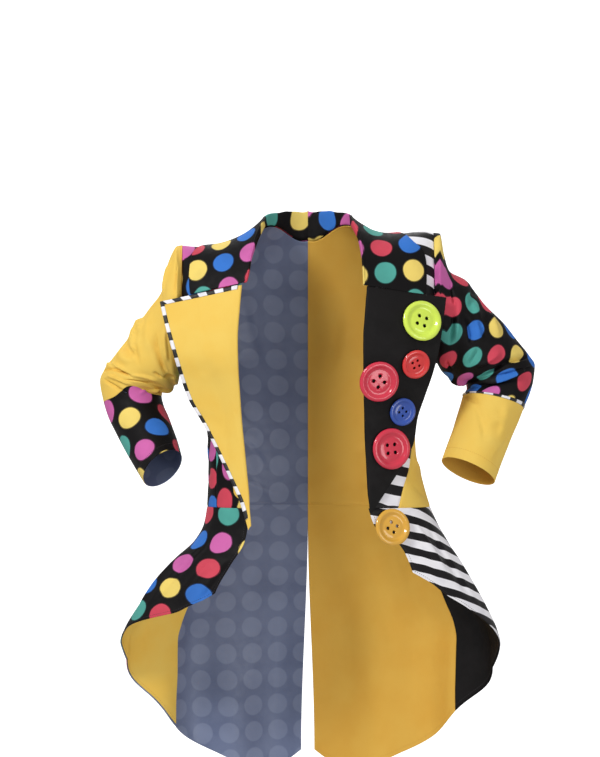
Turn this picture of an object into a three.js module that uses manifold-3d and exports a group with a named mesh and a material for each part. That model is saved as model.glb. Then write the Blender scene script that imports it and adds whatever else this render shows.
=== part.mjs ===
// A clown's tailcoat, worn open with both hands on the hips, as hollow walls of cloth.
// Millimetres. +X is the wearer's left, +Y the back, +Z up. The origin is the middle of the neck base, where the
// wearer's shoulders carry the coat. Every panel is a wall of its own, 0.3 mm from its neighbour at each seam.
import * as THREE from "three";
import { mergeVertices } from "three/addons/utils/BufferGeometryUtils.js";
import Module from "manifold-3d";

const wasm = await Module();
wasm.setup();

// Driving sizes.
const WALL = 1.6; // a panel: cloth with its interlining
const FACING_WALL = 1.3;
const SEAM_GAP = 0.3;
const CHEST_Z = -205; // level of the armpits, where the body's rings hand over to the shoulders
const WAIST_Z = -470; // seam between the body and the skirts
const ARMHOLE_X = 226; // plane of both armhole seams
const ARMHOLE_MIDDLE_Z = -105;
const DEGREE = Math.PI / 180;

// A table with named columns: its first column is the key, and at(column, key) runs smoothly through the rows.
function table(heading, rows) {
  const names = heading.split(/\s+/);
  const sorted = [...rows].sort((a, b) => a[0] - b[0]);
  const keys = sorted.map((row) => row[0]);
  const columns = {};
  names.forEach((name, i) => (columns[name] = sorted.map((row) => row[i])));
  const slopes = {};
  for (const name of names) slopes[name] = monotoneSlopes(keys, columns[name]);
  const at = (name, key) => hermite(keys, columns[name], slopes[name], key);
  return { at, first: keys[0], last: keys[keys.length - 1] };
}

function monotoneSlopes(keys, values) {
  const rise = keys.slice(1).map((k, i) => (values[i + 1] - values[i]) / (k - keys[i]));
  return keys.map((_, i) => {
    if (i === 0) return rise[0];
    if (i === keys.length - 1) return rise[i - 1];
    if (rise[i - 1] * rise[i] <= 0) return 0;
    return (2 * rise[i - 1] * rise[i]) / (rise[i - 1] + rise[i]);
  });
}

function hermite(keys, values, slopes, key) {
  const k = Math.min(Math.max(key, keys[0]), keys[keys.length - 1]);
  let i = 0;
  while (i < keys.length - 2 && k > keys[i + 1]) i++;
  const h = keys[i + 1] - keys[i];
  const t = (k - keys[i]) / h;
  const s = 1 - t;
  return (
    values[i] * s * s * (1 + 2 * t) +
    slopes[i] * h * t * s * s +
    values[i + 1] * t * t * (3 - 2 * t) -
    slopes[i + 1] * h * t * t * s
  );
}

const lerp = THREE.MathUtils.lerp;
const smooth = (t) => THREE.MathUtils.smoothstep(t, 0, 1);
const steps = (count, from = 0, to = 1) =>
  Array.from({ length: count + 1 }, (_, i) => lerp(from, to, i / count));
// As steps, but closer together towards the end.
const easedSteps = (count, power, from = 0, to = 1) =>
  steps(count).map((t) => lerp(from, to, 1 - (1 - t) ** power));
// How far a unit superellipse reaches at x = c, and the angle of that point.
const reach = (c, power) => Math.max(0, 1 - Math.abs(c) ** power) ** (1 / power);
const angleAt = (c, power) => Math.atan2(reach(c, power), c);

// The coat's rings from the chest down to the hems: half widths on the wearer's right and left, how far the front
// and the back stand from the middle, and how square the ring is.
const RINGS = table("z right left front back power", [
  [-205, 240, 240, 126, 114, 2.8],
  [-235, 214, 216, 125, 111, 2.6],
  [-270, 196, 201, 122, 106, 2.5],
  [-320, 184, 192, 117, 100, 2.4],
  [-370, 179, 194, 114, 98, 2.4],
  [-430, 180, 208, 117, 102, 2.3],
  [-470, 182, 220, 121, 110, 2.2],
  [-500, 187, 233, 124, 119, 2.15],
  [-530, 203, 250, 127, 130, 2.1],
  [-567, 243, 272, 130, 143, 2.05],
  [-605, 277, 294, 132, 154, 2],
  [-645, 303, 316, 133, 163, 2],
  [-690, 330, 340, 134, 173, 2],
  [-720, 340, 347, 135, 178, 2],
  [-780, 342, 348, 135, 186, 2],
  [-870, 344, 348, 135, 195, 2],
  [-970, 345, 348, 135, 202, 2],
]);

// The shoulder line, and the neck inside it, as a height for each distance from the middle.
const SHOULDERS = table("x right left", [
  [0, 76, 76],
  [40, 57, 58],
  [76, 33, 35],
  [100, 21, 27],
  [115, 14, 22],
  [140, 5, 18.5],
  [165, -1, 20.5],
  [192, -3, 25],
  [208, -2.5, 26],
  [226, 0, 22.5],
]);

// Where the fronts end towards the middle, which is the line that the lapels roll over.
const FRONT_EDGES = table("z right left", [
  [-470, 104, 107],
  [-430, 107, 104],
  [-370, 112, 101],
  [-315, 117, 99],
  [-220, 123, 98],
  [-120, 121, 99],
  [-60, 110, 99],
  [0, 92, 92],
  [35, 77, 77],
]);

// The skirts' front edges, as shares of the ring's half width.
const SKIRT_EDGES = table("z right left", [
  [-470, 0.584, 0.486],
  [-500, 0.575, 0.502],
  [-520, 0.561, 0.56],
  [-538, 0.552, 0.64],
  [-560, 0.547, 0.655],
  [-585, 0.55, 0.645],
  [-620, 0.567, 0.64],
]);

// The hem's height by its angle round the ring, in degrees: 90 is the front, 0 the side and -90 the back.
const HEM = table("angle right left", [
  [55, -620, -576],
  [50, -634, -582],
  [45, -645, -594],
  [41, -655, -605],
  [36, -660, -625],
  [28, -667, -645],
  [20, -674, -667],
  [11, -683, -690],
  [5, -692, -705],
  [0, -706, -718],
  [-10, -733, -748],
  [-17, -759, -772],
  [-24, -788, -800],
  [-32, -822, -830],
  [-42, -871, -872],
  [-60, -929, -930],
  [-72, -957, -957],
  [-80, -962, -962],
  [-86, -948, -948],
  [-90, -930, -930],
]);

// Each side with the angle of the seam between its skirt and its tail, and of the corner of its front edge.
const RIGHT = { name: "right", sign: -1, tailSeam: -44.5 * DEGREE, corner: 55 * DEGREE };
const LEFT = { name: "left", sign: 1, tailSeam: -36.5 * DEGREE, corner: 49 * DEGREE };
const SIDES = [RIGHT, LEFT];

// How the skirts stand out in soft flutes, from the side round to the back, deeper towards the hem.
const FLUTES = { depth: 11, turns: 12, from: -15 * DEGREE, top: -520, full: -860 };

function flute(angle, z) {
  if (angle > FLUTES.from) return 0;
  const growth = smooth((FLUTES.top - z) / (FLUTES.top - FLUTES.full));
  return FLUTES.depth * growth * Math.sin(FLUTES.turns * (FLUTES.from - angle));
}

// A point of the coat's ring at that height: angle 0 is the side, a quarter turn the front, and less the back.
function ringPoint(side, angle, z) {
  const power = RINGS.at("power", z);
  const cos = Math.cos(angle);
  const sin = Math.sin(angle);
  const unit = (Math.abs(cos) ** power + Math.abs(sin) ** power) ** (-1 / power);
  const wave = flute(angle, z);
  const width = RINGS.at(side.name, z) + wave;
  const depth = RINGS.at(sin > 0 ? "front" : "back", z) + wave;
  return new THREE.Vector3(side.sign * width * unit * cos, -depth * unit * sin, z);
}

// How far the front or back stands from the middle at x, below the chest or, at rise 0 to 1, up to the shoulder line.
function panelPoint(side, face, x, level) {
  const above = level > 0;
  const z = above ? CHEST_Z : lerp(CHEST_Z, WAIST_Z, -level);
  const depth = RINGS.at(face, z) * reach(x / RINGS.at(side.name, z), RINGS.at("power", z));
  const turn = above ? (level * Math.PI) / 2 : 0;
  const crest = SHOULDERS.at(side.name, x);
  const height = above ? lerp(CHEST_Z, crest, Math.sin(turn)) : z;
  const out = depth * Math.cos(turn);
  return new THREE.Vector3(side.sign * x, face === "front" ? -out : out, height);
}

// The x at which a curve kept by height meets that level of the front.
function edgeX(side, level) {
  let x = 100;
  for (let i = 0; i < 8; i++) x = FRONT_EDGES.at(side.name, panelPoint(side, "front", x, level).z);
  return x;
}

// The seams that run down each side from the armhole, by their angle round the ring in degrees.
const ARMHOLE_ANGLE = angleAt(ARMHOLE_X / 240, 2.8) / DEGREE;
const SIDE_SEAMS = table("z right left back", [
  [CHEST_Z, ARMHOLE_ANGLE, ARMHOLE_ANGLE, -ARMHOLE_ANGLE],
  [-270, 28, 25, -29],
  [-320, 28, 20, -30],
  [-350, 28, 19.5, -30],
  [-390, 28, 27, -30],
  [-430, 28, 38, -31],
  [WAIST_Z, 28, 45, -32],
]);

// Where the front's or the back's outer edge is at that level.
function seamX(side, face, level) {
  if (level >= 0) return ARMHOLE_X;
  const z = lerp(CHEST_Z, WAIST_Z, -level);
  return Math.abs(ringPoint(side, SIDE_SEAMS.at(face === "front" ? side.name : "back", z) * DEGREE, z).x);
}

// A closed wall of cloth. surface(u, v) gives its outer face, lift moves the whole wall out, and outward is the way
// that face roughly looks at the hint's share of the grid. trim(point, u, v) may straighten a point of an edge, and
// inset draws the edges in by that share of a cell.
function wall({
  surface,
  us,
  vs,
  closed = false,
  lift = 0,
  thickness = WALL,
  outward,
  hint = [0.5, 0.5],
  trim = (point) => point,
  inset = 0,
}) {
  const rows = vs.length;
  const columns = us.length;
  const step = 1e-3;
  const normalAt = (u, v) => {
    const span = (list) => [list[0], list[list.length - 1]];
    const [uLow, uHigh] = closed ? [-Infinity, Infinity] : span(us);
    const [vLow, vHigh] = span(vs);
    const du = (uHigh - uLow < 1e9 ? uHigh - uLow : 1) * step;
    const dv = (vHigh - vLow) * step;
    const along = surface(Math.min(u + du, uHigh), v).sub(surface(Math.max(u - du, uLow), v));
    const across = surface(u, Math.min(v + dv, vHigh)).sub(surface(u, Math.max(v - dv, vLow)));
    return along.cross(across).normalize();
  };
  const hintPoint = [us[Math.round(hint[0] * (columns - 1))], vs[Math.round(hint[1] * (rows - 1))]];
  const sign = normalAt(...hintPoint).dot(outward) < 0 ? -1 : 1;
  const points = [];
  for (const depth of [lift, lift - thickness])
    for (const v of vs)
      for (const u of us) points.push(trim(surface(u, v).addScaledVector(normalAt(u, v), sign * depth), u, v));
  const at = (layer, row, column) => (layer * rows + row) * columns + (column % columns);
  for (const layer of inset ? [0, 1] : []) {
    for (let r = 0; r < rows; r++) {
      points[at(layer, r, 0)].lerp(points[at(layer, r, 1)], inset);
      points[at(layer, r, columns - 1)].lerp(points[at(layer, r, columns - 2)], inset / 4);
    }
    for (let c = 0; c < columns; c++)
      points[at(layer, rows - 1, c)].lerp(points[at(layer, rows - 2, c)], inset);
  }
  const faces = [];
  const quad = (a, b, c, d) => faces.push(a, b, c, a, c, d);
  const lastColumn = closed ? columns : columns - 1;
  for (let r = 0; r < rows - 1; r++)
    for (let c = 0; c < lastColumn; c++) {
      quad(at(0, r, c), at(0, r, c + 1), at(0, r + 1, c + 1), at(0, r + 1, c));
      quad(at(1, r, c), at(1, r + 1, c), at(1, r + 1, c + 1), at(1, r, c + 1));
    }
  for (let c = 0; c < lastColumn; c++) {
    quad(at(1, 0, c), at(1, 0, c + 1), at(0, 0, c + 1), at(0, 0, c));
    quad(at(0, rows - 1, c), at(0, rows - 1, c + 1), at(1, rows - 1, c + 1), at(1, rows - 1, c));
  }
  if (!closed)
    for (let r = 0; r < rows - 1; r++) {
      quad(at(0, r, 0), at(0, r + 1, 0), at(1, r + 1, 0), at(1, r, 0));
      quad(at(1, r, lastColumn), at(1, r + 1, lastColumn), at(0, r + 1, lastColumn), at(0, r, lastColumn));
    }
  if (signedVolume(points, faces) < 0)
    for (let i = 0; i < faces.length; i += 3) [faces[i + 1], faces[i + 2]] = [faces[i + 2], faces[i + 1]];
  return new THREE.BufferGeometry()
    .setAttribute("position", new THREE.Float32BufferAttribute(points.flatMap((p) => p.toArray()), 3))
    .setIndex(faces);
}

function signedVolume(points, faces) {
  let volume = 0;
  for (let i = 0; i < faces.length; i += 3)
    volume += points[faces[i]].dot(points[faces[i + 1]].clone().cross(points[faces[i + 2]]));
  return volume;
}

// The cloths and buttons, by colour.
const CLOTH = {
  dots: 0x1b191b,
  stripes: 0x8a8888,
  yellow: 0xf2bd33,
  black: 0x171516,
  edging: 0xb9b9b9,
};
const cloth = (colour) => new THREE.MeshStandardMaterial({ color: colour, roughness: 0.7, metalness: 0 });
const gloss = (colour) => new THREE.MeshStandardMaterial({ color: colour, roughness: 0.2, metalness: 0 });

const coat = new THREE.Group();
function add(name, geometry, material) {
  const mesh = new THREE.Mesh(geometry, material);
  mesh.name = name;
  coat.add(mesh);
  return mesh;
}

const FORWARD = new THREE.Vector3(0, -1, 0);
const BACKWARD = new THREE.Vector3(0, 1, 0);
const sideways = (side) => new THREE.Vector3(side.sign, 0, 0);

// The body: a front, a side body and a back on each side, from the waist seam up to the shoulder seam.
const LOWER_LEVELS = steps(8, -1, 0);
const BODY_LEVELS = [...LOWER_LEVELS, ...steps(6, 0, 1).slice(1)];
const INSET = SEAM_GAP / 2;

function makeFront(side) {
  const surface = (u, level) => {
    const inner = edgeX(side, level) + INSET;
    const outer = seamX(side, "front", level) - INSET;
    return panelPoint(side, "front", lerp(inner, outer, u), level);
  };
  const levels = BODY_LEVELS.map((level) => (level === 1 ? 1 - 2e-3 : level));
  return wall({ surface, us: easedSteps(8, 1.3), vs: levels, outward: FORWARD });
}

// The back reaches the shoulder seam, and inside that it stops lower, round the neck.
const NECK_X = 77;
const NECK_BACK_LEVEL = 0.56;

function makeBack(side) {
  const surface = (u, level) => {
    const outer = seamX(side, "back", level) - INSET;
    const x = lerp(INSET, outer, u);
    const top = x < NECK_X ? lerp(NECK_BACK_LEVEL, 1, (x / NECK_X) ** 2) : 1;
    return panelPoint(side, "back", x, level > 0 ? level * top : level);
  };
  const levels = BODY_LEVELS.map((level) => (level === 1 ? 1 - 2e-3 : level));
  const trim = (point, u) => (u === 0 ? point.setX(side.sign * INSET) : point);
  return wall({ surface, us: easedSteps(9, 1.25), vs: levels, outward: BACKWARD, trim });
}

function makeSideBody(side) {
  // The height at which the ring reaches the armhole's plane.
  const topAt = (angle) => {
    let low = CHEST_Z - 35;
    let high = CHEST_Z;
    for (let i = 0; i < 30; i++) {
      const middle = (low + high) / 2;
      if (Math.abs(ringPoint(side, angle, middle).x) < ARMHOLE_X - INSET) low = middle;
      else high = middle;
    }
    return low;
  };
  const lastLevel = LOWER_LEVELS[LOWER_LEVELS.length - 2];
  const surface = (u, level) => {
    const z = lerp(CHEST_Z, WAIST_Z, -level);
    const turn = (name) => SIDE_SEAMS.at(name, z) * DEGREE;
    const angle = lerp(turn(side.name), turn("back"), lerp(0.004, 0.996, u));
    if (level <= lastLevel) return ringPoint(side, angle, z);
    const climb = 1 - level / lastLevel;
    return ringPoint(side, angle, lerp(lerp(CHEST_Z, WAIST_Z, -lastLevel), topAt(angle) - 0.4, climb));
  };
  return wall({ surface, us: steps(6), vs: LOWER_LEVELS, outward: sideways(side) });
}

// The skirts: from each front edge round the side to the tail's seam, and the tails from there to the back vent.
function skirtSurface(side) {
  return (u, v) => {
    const bottomAngle = lerp(side.corner, side.tailSeam, u);
    const z = lerp(WAIST_Z - SEAM_GAP, HEM.at(side.name, bottomAngle / DEGREE), v);
    const edge = angleAt(SKIRT_EDGES.at(side.name, z), RINGS.at("power", z));
    const front = lerp(edge, side.corner, smooth(v) ** 3);
    return ringPoint(side, lerp(front, side.tailSeam + SEAM_GAP / 340, u), z);
  };
}

const SKIRT_COLUMNS = steps(12);
const SKIRT_ROWS = steps(8);

function makeSkirt(side) {
  return wall({ surface: skirtSurface(side), us: SKIRT_COLUMNS, vs: SKIRT_ROWS, outward: sideways(side) });
}

// The facing is the skirt's own points moved in, a little short of its edges.
function makeFacing(side) {
  const lift = -WALL - SEAM_GAP - 0.35;
  const shape = { surface: skirtSurface(side), us: SKIRT_COLUMNS, vs: SKIRT_ROWS, outward: sideways(side) };
  return wall({ ...shape, lift, thickness: FACING_WALL, inset: 0.08 });
}

const VENT = { top: -500, bottom: -930, opening: 12 };

function makeTail(side) {
  const surface = (u, v) => {
    const angle = lerp(side.tailSeam - SEAM_GAP / 340, -Math.PI / 2, u);
    const z = lerp(WAIST_Z - SEAM_GAP, HEM.at(side.name, angle / DEGREE), v);
    const open = smooth((VENT.top - z) / (VENT.top - VENT.bottom));
    const point = ringPoint(side, angle, z);
    point.x += side.sign * (INSET + VENT.opening * open * u);
    return point;
  };
  return wall({ surface, us: steps(10), vs: steps(8), outward: BACKWARD });
}

// How far forward a stiff panel laid on the front stands. It follows the front as far as BEND of the half width,
// and from there keeps only a part of the front's slope, so its outer edge stands off the body and the arm.
const BEND = 0.8;
const STIFF = 0.5;

function frontDepth(side, x, z) {
  const ring = Math.min(z, CHEST_Z);
  const power = RINGS.at("power", ring);
  const width = RINGS.at(side.name, ring);
  const share = Math.min(x / width, BEND);
  const slope = (share ** (power - 1) * reach(share, power) ** (1 - power)) * STIFF;
  const depth = RINGS.at("front", ring) * (reach(share, power) - slope * (x / width - share));
  if (z <= CHEST_Z) return depth;
  const rise = (z - CHEST_Z) / (SHOULDERS.at(side.name, x) - CHEST_Z);
  return depth * Math.cos(Math.asin(Math.min(0.999, rise)));
}

// The lapels, from the gorge down to the tip: inner and outer edge.
const LAPELS = {
  right: table("row innerX innerZ outerX outerZ", [
    [0, 117, -74, 263, -104],
    [1, 121, -120, 253, -146],
    [2, 124, -170, 241, -188],
    [3, 123, -220, 227, -235],
    [4, 120, -270, 212, -277],
    [5, 117, -315, 188, -318],
    [6, 112, -365, 162, -369],
    [7, 107, -415, 138, -419],
    [8, 103, -455, 120, -459],
    [9, 99, -496, 106, -508],
  ]),
  left: table("row innerX innerZ outerX outerZ", [
    [0, 104, -76, 246, -96],
    [1, 100, -125, 240, -141],
    [2, 97, -170, 233, -186],
    [3, 97, -220, 222, -231],
    [4, 98, -270, 208, -272],
    [5, 99, -310, 195, -312],
    [6, 100, -350, 189, -352],
    [7, 102, -385, 172, -388],
    [8, 104, -425, 146, -428],
    [9, 107, -472, 113, -478],
  ]),
};
const LAPEL_ROWS = 9;
const LAPEL_ROLL = { gorge: 0.9, full: 4.5 }; // how far the cloth stands off where it rolls over

function lapelSurface(side) {
  const lapel = LAPELS[side.name];
  return (u, row) => {
    const x = lerp(lapel.at("innerX", row), lapel.at("outerX", row), u);
    const z = lerp(lapel.at("innerZ", row), lapel.at("outerZ", row), u);
    const full = lerp(LAPEL_ROLL.gorge, LAPEL_ROLL.full, smooth(row / 2));
    const roll = lerp(LAPEL_ROLL.gorge, full, smooth(u * 6));
    return new THREE.Vector3(side.sign * x, -frontDepth(side, x, z) - roll - WALL - SEAM_GAP - 0.2, z);
  };
}

const LAPEL_STEPS = steps(14, 0, LAPEL_ROWS);
const LAPEL_SHARES = [0, 0.06, 0.14, 0.28, 0.45, 0.62, 0.8, 1];

function makeLapel(side) {
  return wall({ surface: lapelSurface(side), us: LAPEL_SHARES, vs: LAPEL_STEPS, outward: FORWARD });
}

// The edging: a tape of black and white blocks, sewn along an edge and laid on the cloth that it trims.
const EDGING_START = LAPEL_SHARES[1]; // how far across the lapel it starts, next to the neck
const EDGING = { width: 8.5, thickness: 1.6 };

function makeLapelEdging(side) {
  const lapel = lapelSurface(side);
  const lapelWidth = (row) => lapel(1, row).distanceTo(lapel(0, row));
  const across = (row) => EDGING.width / Math.max(lapelWidth(row), 14);
  const margin = EDGING.width / 44;
  // along runs from -1 to 0 on the top edge, from the gorge to the corner, then down the outer edge by row.
  const surface = (u, along) => {
    if (along < 0) return lapel(lerp(EDGING_START, 1 - across(0) * (1 - u), along + 1), margin * (1 - u));
    return lapel(1 - across(along) * (1 - u), Math.max(along, margin * (1 - u)));
  };
  const lift = SEAM_GAP + 0.3 + EDGING.thickness;
  const top = LAPEL_SHARES.slice(1, -1).map((share) => (share - 1) / (1 - EDGING_START));
  const vs = [...top, 0, ...LAPEL_STEPS.slice(1, -1), LAPEL_ROWS - 0.35];
  return wall({ surface, us: steps(1), vs, lift, thickness: EDGING.thickness, outward: FORWARD });
}

// The collar: its stand rises from the neck seam, and its fall rolls over and lies on the shoulders, down to the
// lapels. share 0 is its front end and 1 the middle of the back. outerX and outerTurn give its outer edge on the
// body, where turn is in degrees over the shoulder: 0 is the chest, 90 the shoulder line and 180 the back.
const COLLAR_ROWS = "share outerX outerTurn height roll";
const COLLARS = {
  right: table(COLLAR_ROWS, [
    [0, 207, 34.5, 4, 1.3],
    [0.15, 211, 47, 6, 1.6],
    [0.3, 207, 66, 10, 2],
    [0.42, 190, 84, 13, 2.3],
    [0.52, 162, 97, 17, 2.5],
    [0.64, 132, 110, 23, 2.5],
    [0.76, 98, 121, 38, 2.5],
    [0.88, 52, 129, 48, 2.5],
    [1, 0, 132, 50, 2.5],
  ]),
  left: table(COLLAR_ROWS, [
    [0, 207, 30.3, 4, 1.3],
    [0.15, 210, 44, 6, 1.6],
    [0.3, 206, 55, 9, 2],
    [0.42, 188, 65, 12, 2.3],
    [0.52, 168, 82, 17, 2.5],
    [0.64, 136, 104, 23, 2.5],
    [0.76, 98, 121, 38, 2.5],
    [0.88, 52, 129, 48, 2.5],
    [1, 0, 132, 50, 2.5],
  ]),
};
const COLLAR_LIE = { near: 6.5, far: 3.6 }; // how far the fall stands off the body near the neck and at its edge
const COLLAR_DROP = 4; // how soon the fall comes down from its crease
const GORGE_SHARE = 0.15; // share of the collar's half length over which it turns from the gorge seam
const NECK_SHARE = 0.5; // share of the collar's half length that runs up the front's edge

// A point of the upper body at x and a turn over the shoulder, moved out.
function shoulderPoint(side, x, turn, out) {
  const face = turn <= 90 ? "front" : "back";
  const level = turn <= 90 ? turn / 90 : (180 - turn) / 90;
  const at = (dx, dLevel) => panelPoint(side, face, Math.max(0, x + dx), Math.min(level + dLevel, 0.9999));
  const normal = at(1, 0).sub(at(-1, 0)).cross(at(0, 1e-3).sub(at(0, -1e-3)));
  if (normal.dot(new THREE.Vector3(0, face === "front" ? -0.4 : 0.4, 1)) < 0) normal.negate();
  return panelPoint(side, face, x, level).addScaledVector(normal.normalize(), out);
}

// The turn over the shoulder, in degrees, at which the lapel's top edge crosses x.
function gorgeTurn(side, x) {
  const lapel = LAPELS[side.name];
  const share = (x - lapel.at("innerX", 0)) / (lapel.at("outerX", 0) - lapel.at("innerX", 0));
  const z = lerp(lapel.at("innerZ", 0), lapel.at("outerZ", 0), share) + 1.5;
  return Math.asin((z - CHEST_Z) / (SHOULDERS.at(side.name, x) - CHEST_Z)) / DEGREE;
}

// Where the neck seam runs: x and turn over the shoulder.
function neckSeam(side, share) {
  if (share < NECK_SHARE) {
    const gorge = gorgeTurn(side, LAPELS[side.name].at("innerX", 0)) / 90;
    const level = lerp(gorge, 1, share / NECK_SHARE);
    return [edgeX(side, level), level * 90];
  }
  const x = NECK_X * (1 - (share - NECK_SHARE) / (1 - NECK_SHARE));
  return [x, 180 - 90 * lerp(NECK_BACK_LEVEL, 1, (x / NECK_X) ** 2)];
}

const COLLAR_SEAM = 2.2; // how far the stand's foot is from the cloth's edge
const COLLAR_STAND = 0.2; // share of the collar's profile that is its stand
const COLLAR_OVER = 0.3; // and where its roll ends

// u runs from the right front end over the back to the left one, v from the neck seam over the crease to the edge.
function collarSurface(u, v) {
  const side = u < 0.5 ? RIGHT : LEFT;
  const share = u < 0.5 ? u * 2 : 2 - u * 2;
  const collar = COLLARS[side.name];
  const [x, turn] = neckSeam(side, share);
  const lie = (t) => lerp(COLLAR_LIE.far, COLLAR_LIE.near, (1 - t) ** 2 * Math.min(1, share * 3));
  const on = (t, out = lie(t)) => {
    const wide = lerp(x, collar.at("outerX", share), t);
    const free = lerp(turn, collar.at("outerTurn", share), t);
    return shoulderPoint(side, wide, lerp(gorgeTurn(side, wide), free, smooth(share / GORGE_SHARE)), out);
  };
  // In front the collar rolls off the chest; round the neck it stands up and rolls outwards.
  const neck = on(0, 0);
  const stands = smooth(share / NECK_SHARE);
  const along = on(0.04, 0).sub(neck).normalize();
  const up = on(0, 1).sub(neck).lerp(new THREE.Vector3(0, 0, 1), stands).normalize();
  const outwards = along.clone().lerp(new THREE.Vector3(neck.x, neck.y, 0).normalize(), stands).normalize();
  const foot = neck.addScaledVector(along, -COLLAR_SEAM);
  const height = collar.at("height", share);
  if (v <= COLLAR_STAND) return foot.addScaledVector(up, (height * v) / COLLAR_STAND);
  const crest = foot.addScaledVector(up, height);
  const roll = collar.at("roll", share);
  if (v < COLLAR_OVER) {
    const angle = (Math.PI * (v - COLLAR_STAND)) / (COLLAR_OVER - COLLAR_STAND);
    return crest.addScaledVector(outwards, roll * (1 - Math.cos(angle))).addScaledVector(up, roll * Math.sin(angle));
  }
  const fall = (v - COLLAR_OVER) / (1 - COLLAR_OVER);
  const over = crest.addScaledVector(outwards, 2 * roll);
  return on(fall).addScaledVector(over.sub(on(0)), (1 - fall) ** COLLAR_DROP);
}

function makeCollar() {
  const vs = [0, 0.12, COLLAR_STAND, 0.25, 0.3, 0.36, 0.44, 0.55, 0.7, 0.85, 1];
  return wall({ surface: collarSurface, us: steps(32), vs, outward: BACKWARD, hint: [0.5, 0.8] });
}

// The sleeves, as rings down the arm. Each row gives the ring's outer point, towards the elbow's back, and its
// inner one, seen from the front, then how far back its middle lies and half its depth.
const ARM_ROWS = "ring outerX outerZ innerX innerZ middleY depth lean";
const ARMS = {
  right: table(ARM_ROWS, [
    [0, 226, 0, 226, -221, 0, 62, 0],
    [1, 236, -2, 230, -229, 1, 66, 0],
    [2, 253, -36, 232, -238, 4, 66, -2],
    [3, 262, -80, 234, -246, 8, 66, -4],
    [4, 288, -117, 236, -252, 14, 64, -6],
    [5, 322, -163, 240, -255, 22, 62, -7],
    [6, 350, -199, 248, -261, 31, 61, -6],
    [7, 368, -222, 257, -263, 39, 60, -3],
    [8, 377, -246, 263, -266, 43, 59, 2],
    [9, 370, -284, 265, -273, 41, 57, 8],
    [10, 361, -311, 261, -289, 32, 54, 14],
    [11, 347, -338, 252, -308, 17, 52, 19],
    [12, 329, -370, 243, -330, -3, 51, 24],
    [13, 309, -402, 235, -351, -25, 50, 27],
    [14, 290, -430, 230, -371, -47, 50, 28],
  ]),
  left: table(ARM_ROWS, [
    [0, 226, 22, 226, -221, 0, 62, 0],
    [1, 237, 21, 230, -213, 1, 66, 0],
    [2, 245, -18, 232, -213, 3, 66, -1],
    [3, 254, -46, 236, -219, 6, 66, -3],
    [4, 284, -63, 241, -227, 10, 66, -4],
    [5, 318, -106, 250, -236, 16, 65, -5],
    [6, 354, -141, 262, -244, 23, 64, -5],
    [7, 378, -171, 273, -247, 29, 62, -4],
    [8, 400, -198, 281, -248, 33, 61, -3],
    [9, 411, -217, 286, -251, 35, 60, -1],
    [10, 408, -244, 287, -257, 34, 59, 3],
    [11, 401, -269, 285, -263, 31, 58, 7],
    [12, 391, -292, 281, -269, 27, 58, 11],
    [13, 380, -319, 275, -288, 20, 58, 14],
    [14, 368, -345, 268, -309, 11, 57, 16],
    [15, 357, -371, 261, -331, 1, 56, 17],
    [16, 346, -397, 252, -354, -10, 55, 17],
    [17, 334, -428, 240, -385, -24, 55, 17],
  ]),
};
const CUT_RING = { right: 9, left: 12 }; // where the upper part of each sleeve is sewn to the lower one
const CUFF_RING = { right: 14, left: 17 };
const SLEEVE_SEAM = 0.01; // half the gap at that seam, in rings

// The deep folds of a bent sleeve, as troughs: the ring and turn of their middle, how long and wide, how deep, and
// how far they slant. Turns are in degrees: 0 the outer side, 90 the front, 180 the inner side.
const FOLDS = {
  right: [
    { ring: 6.3, turn: 128, along: 0.55, around: 38, depth: 9, slant: 0.012 },
    { ring: 7.9, turn: 150, along: 0.5, around: 42, depth: 7, slant: -0.01 },
    { ring: 4.4, turn: 150, along: 0.6, around: 34, depth: 6, slant: 0.014 },
    { ring: 7.3, turn: 218, along: 0.5, around: 36, depth: 7, slant: 0.01 },
  ],
  left: [
    { ring: 9.9, turn: 100, along: 0.5, around: 52, depth: 7, slant: 0.008 },
    { ring: 8.0, turn: 145, along: 0.55, around: 36, depth: 8, slant: -0.012 },
    { ring: 5.2, turn: 140, along: 0.6, around: 34, depth: 6, slant: 0.015 },
    { ring: 8.8, turn: 222, along: 0.5, around: 36, depth: 7, slant: 0.01 },
  ],
};

function foldDepth(side, ring, degrees) {
  let depth = 0;
  for (const fold of FOLDS[side.name]) {
    const off = degrees - fold.turn;
    const across = (ring - fold.ring - fold.slant * off) / fold.along;
    depth += fold.depth * Math.exp(-(across ** 2) - (off / fold.around) ** 2);
  }
  return depth;
}

// How far the armhole's edge lies from its middle, in the plane of the seam. The turn is counted as on the sleeve.
function armholeRadius(side, turn) {
  const inside = (y, z) => {
    const ring = Math.min(z, CHEST_Z);
    const share = reach(ARMHOLE_X / RINGS.at(side.name, ring), RINGS.at("power", ring));
    const depth = RINGS.at(y < 0 ? "front" : "back", ring) * share;
    if (z <= CHEST_Z) return Math.abs(y) < depth;
    const rise = (z - CHEST_Z) / (SHOULDERS.at(side.name, ARMHOLE_X) - CHEST_Z);
    return rise < 1 && Math.abs(y) < depth * Math.cos(Math.asin(rise));
  };
  let low = 0;
  let high = 170;
  for (let i = 0; i < 30; i++) {
    const middle = (low + high) / 2;
    if (inside(-middle * Math.sin(turn), ARMHOLE_MIDDLE_Z + middle * Math.cos(turn))) low = middle;
    else high = middle;
  }
  return low;
}

function armMiddle(side, ring) {
  const arm = ARMS[side.name];
  const x = (arm.at("outerX", ring) + arm.at("innerX", ring)) / 2;
  const z = (arm.at("outerZ", ring) + arm.at("innerZ", ring)) / 2;
  return new THREE.Vector3(side.sign * x, arm.at("middleY", ring), z);
}

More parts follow.
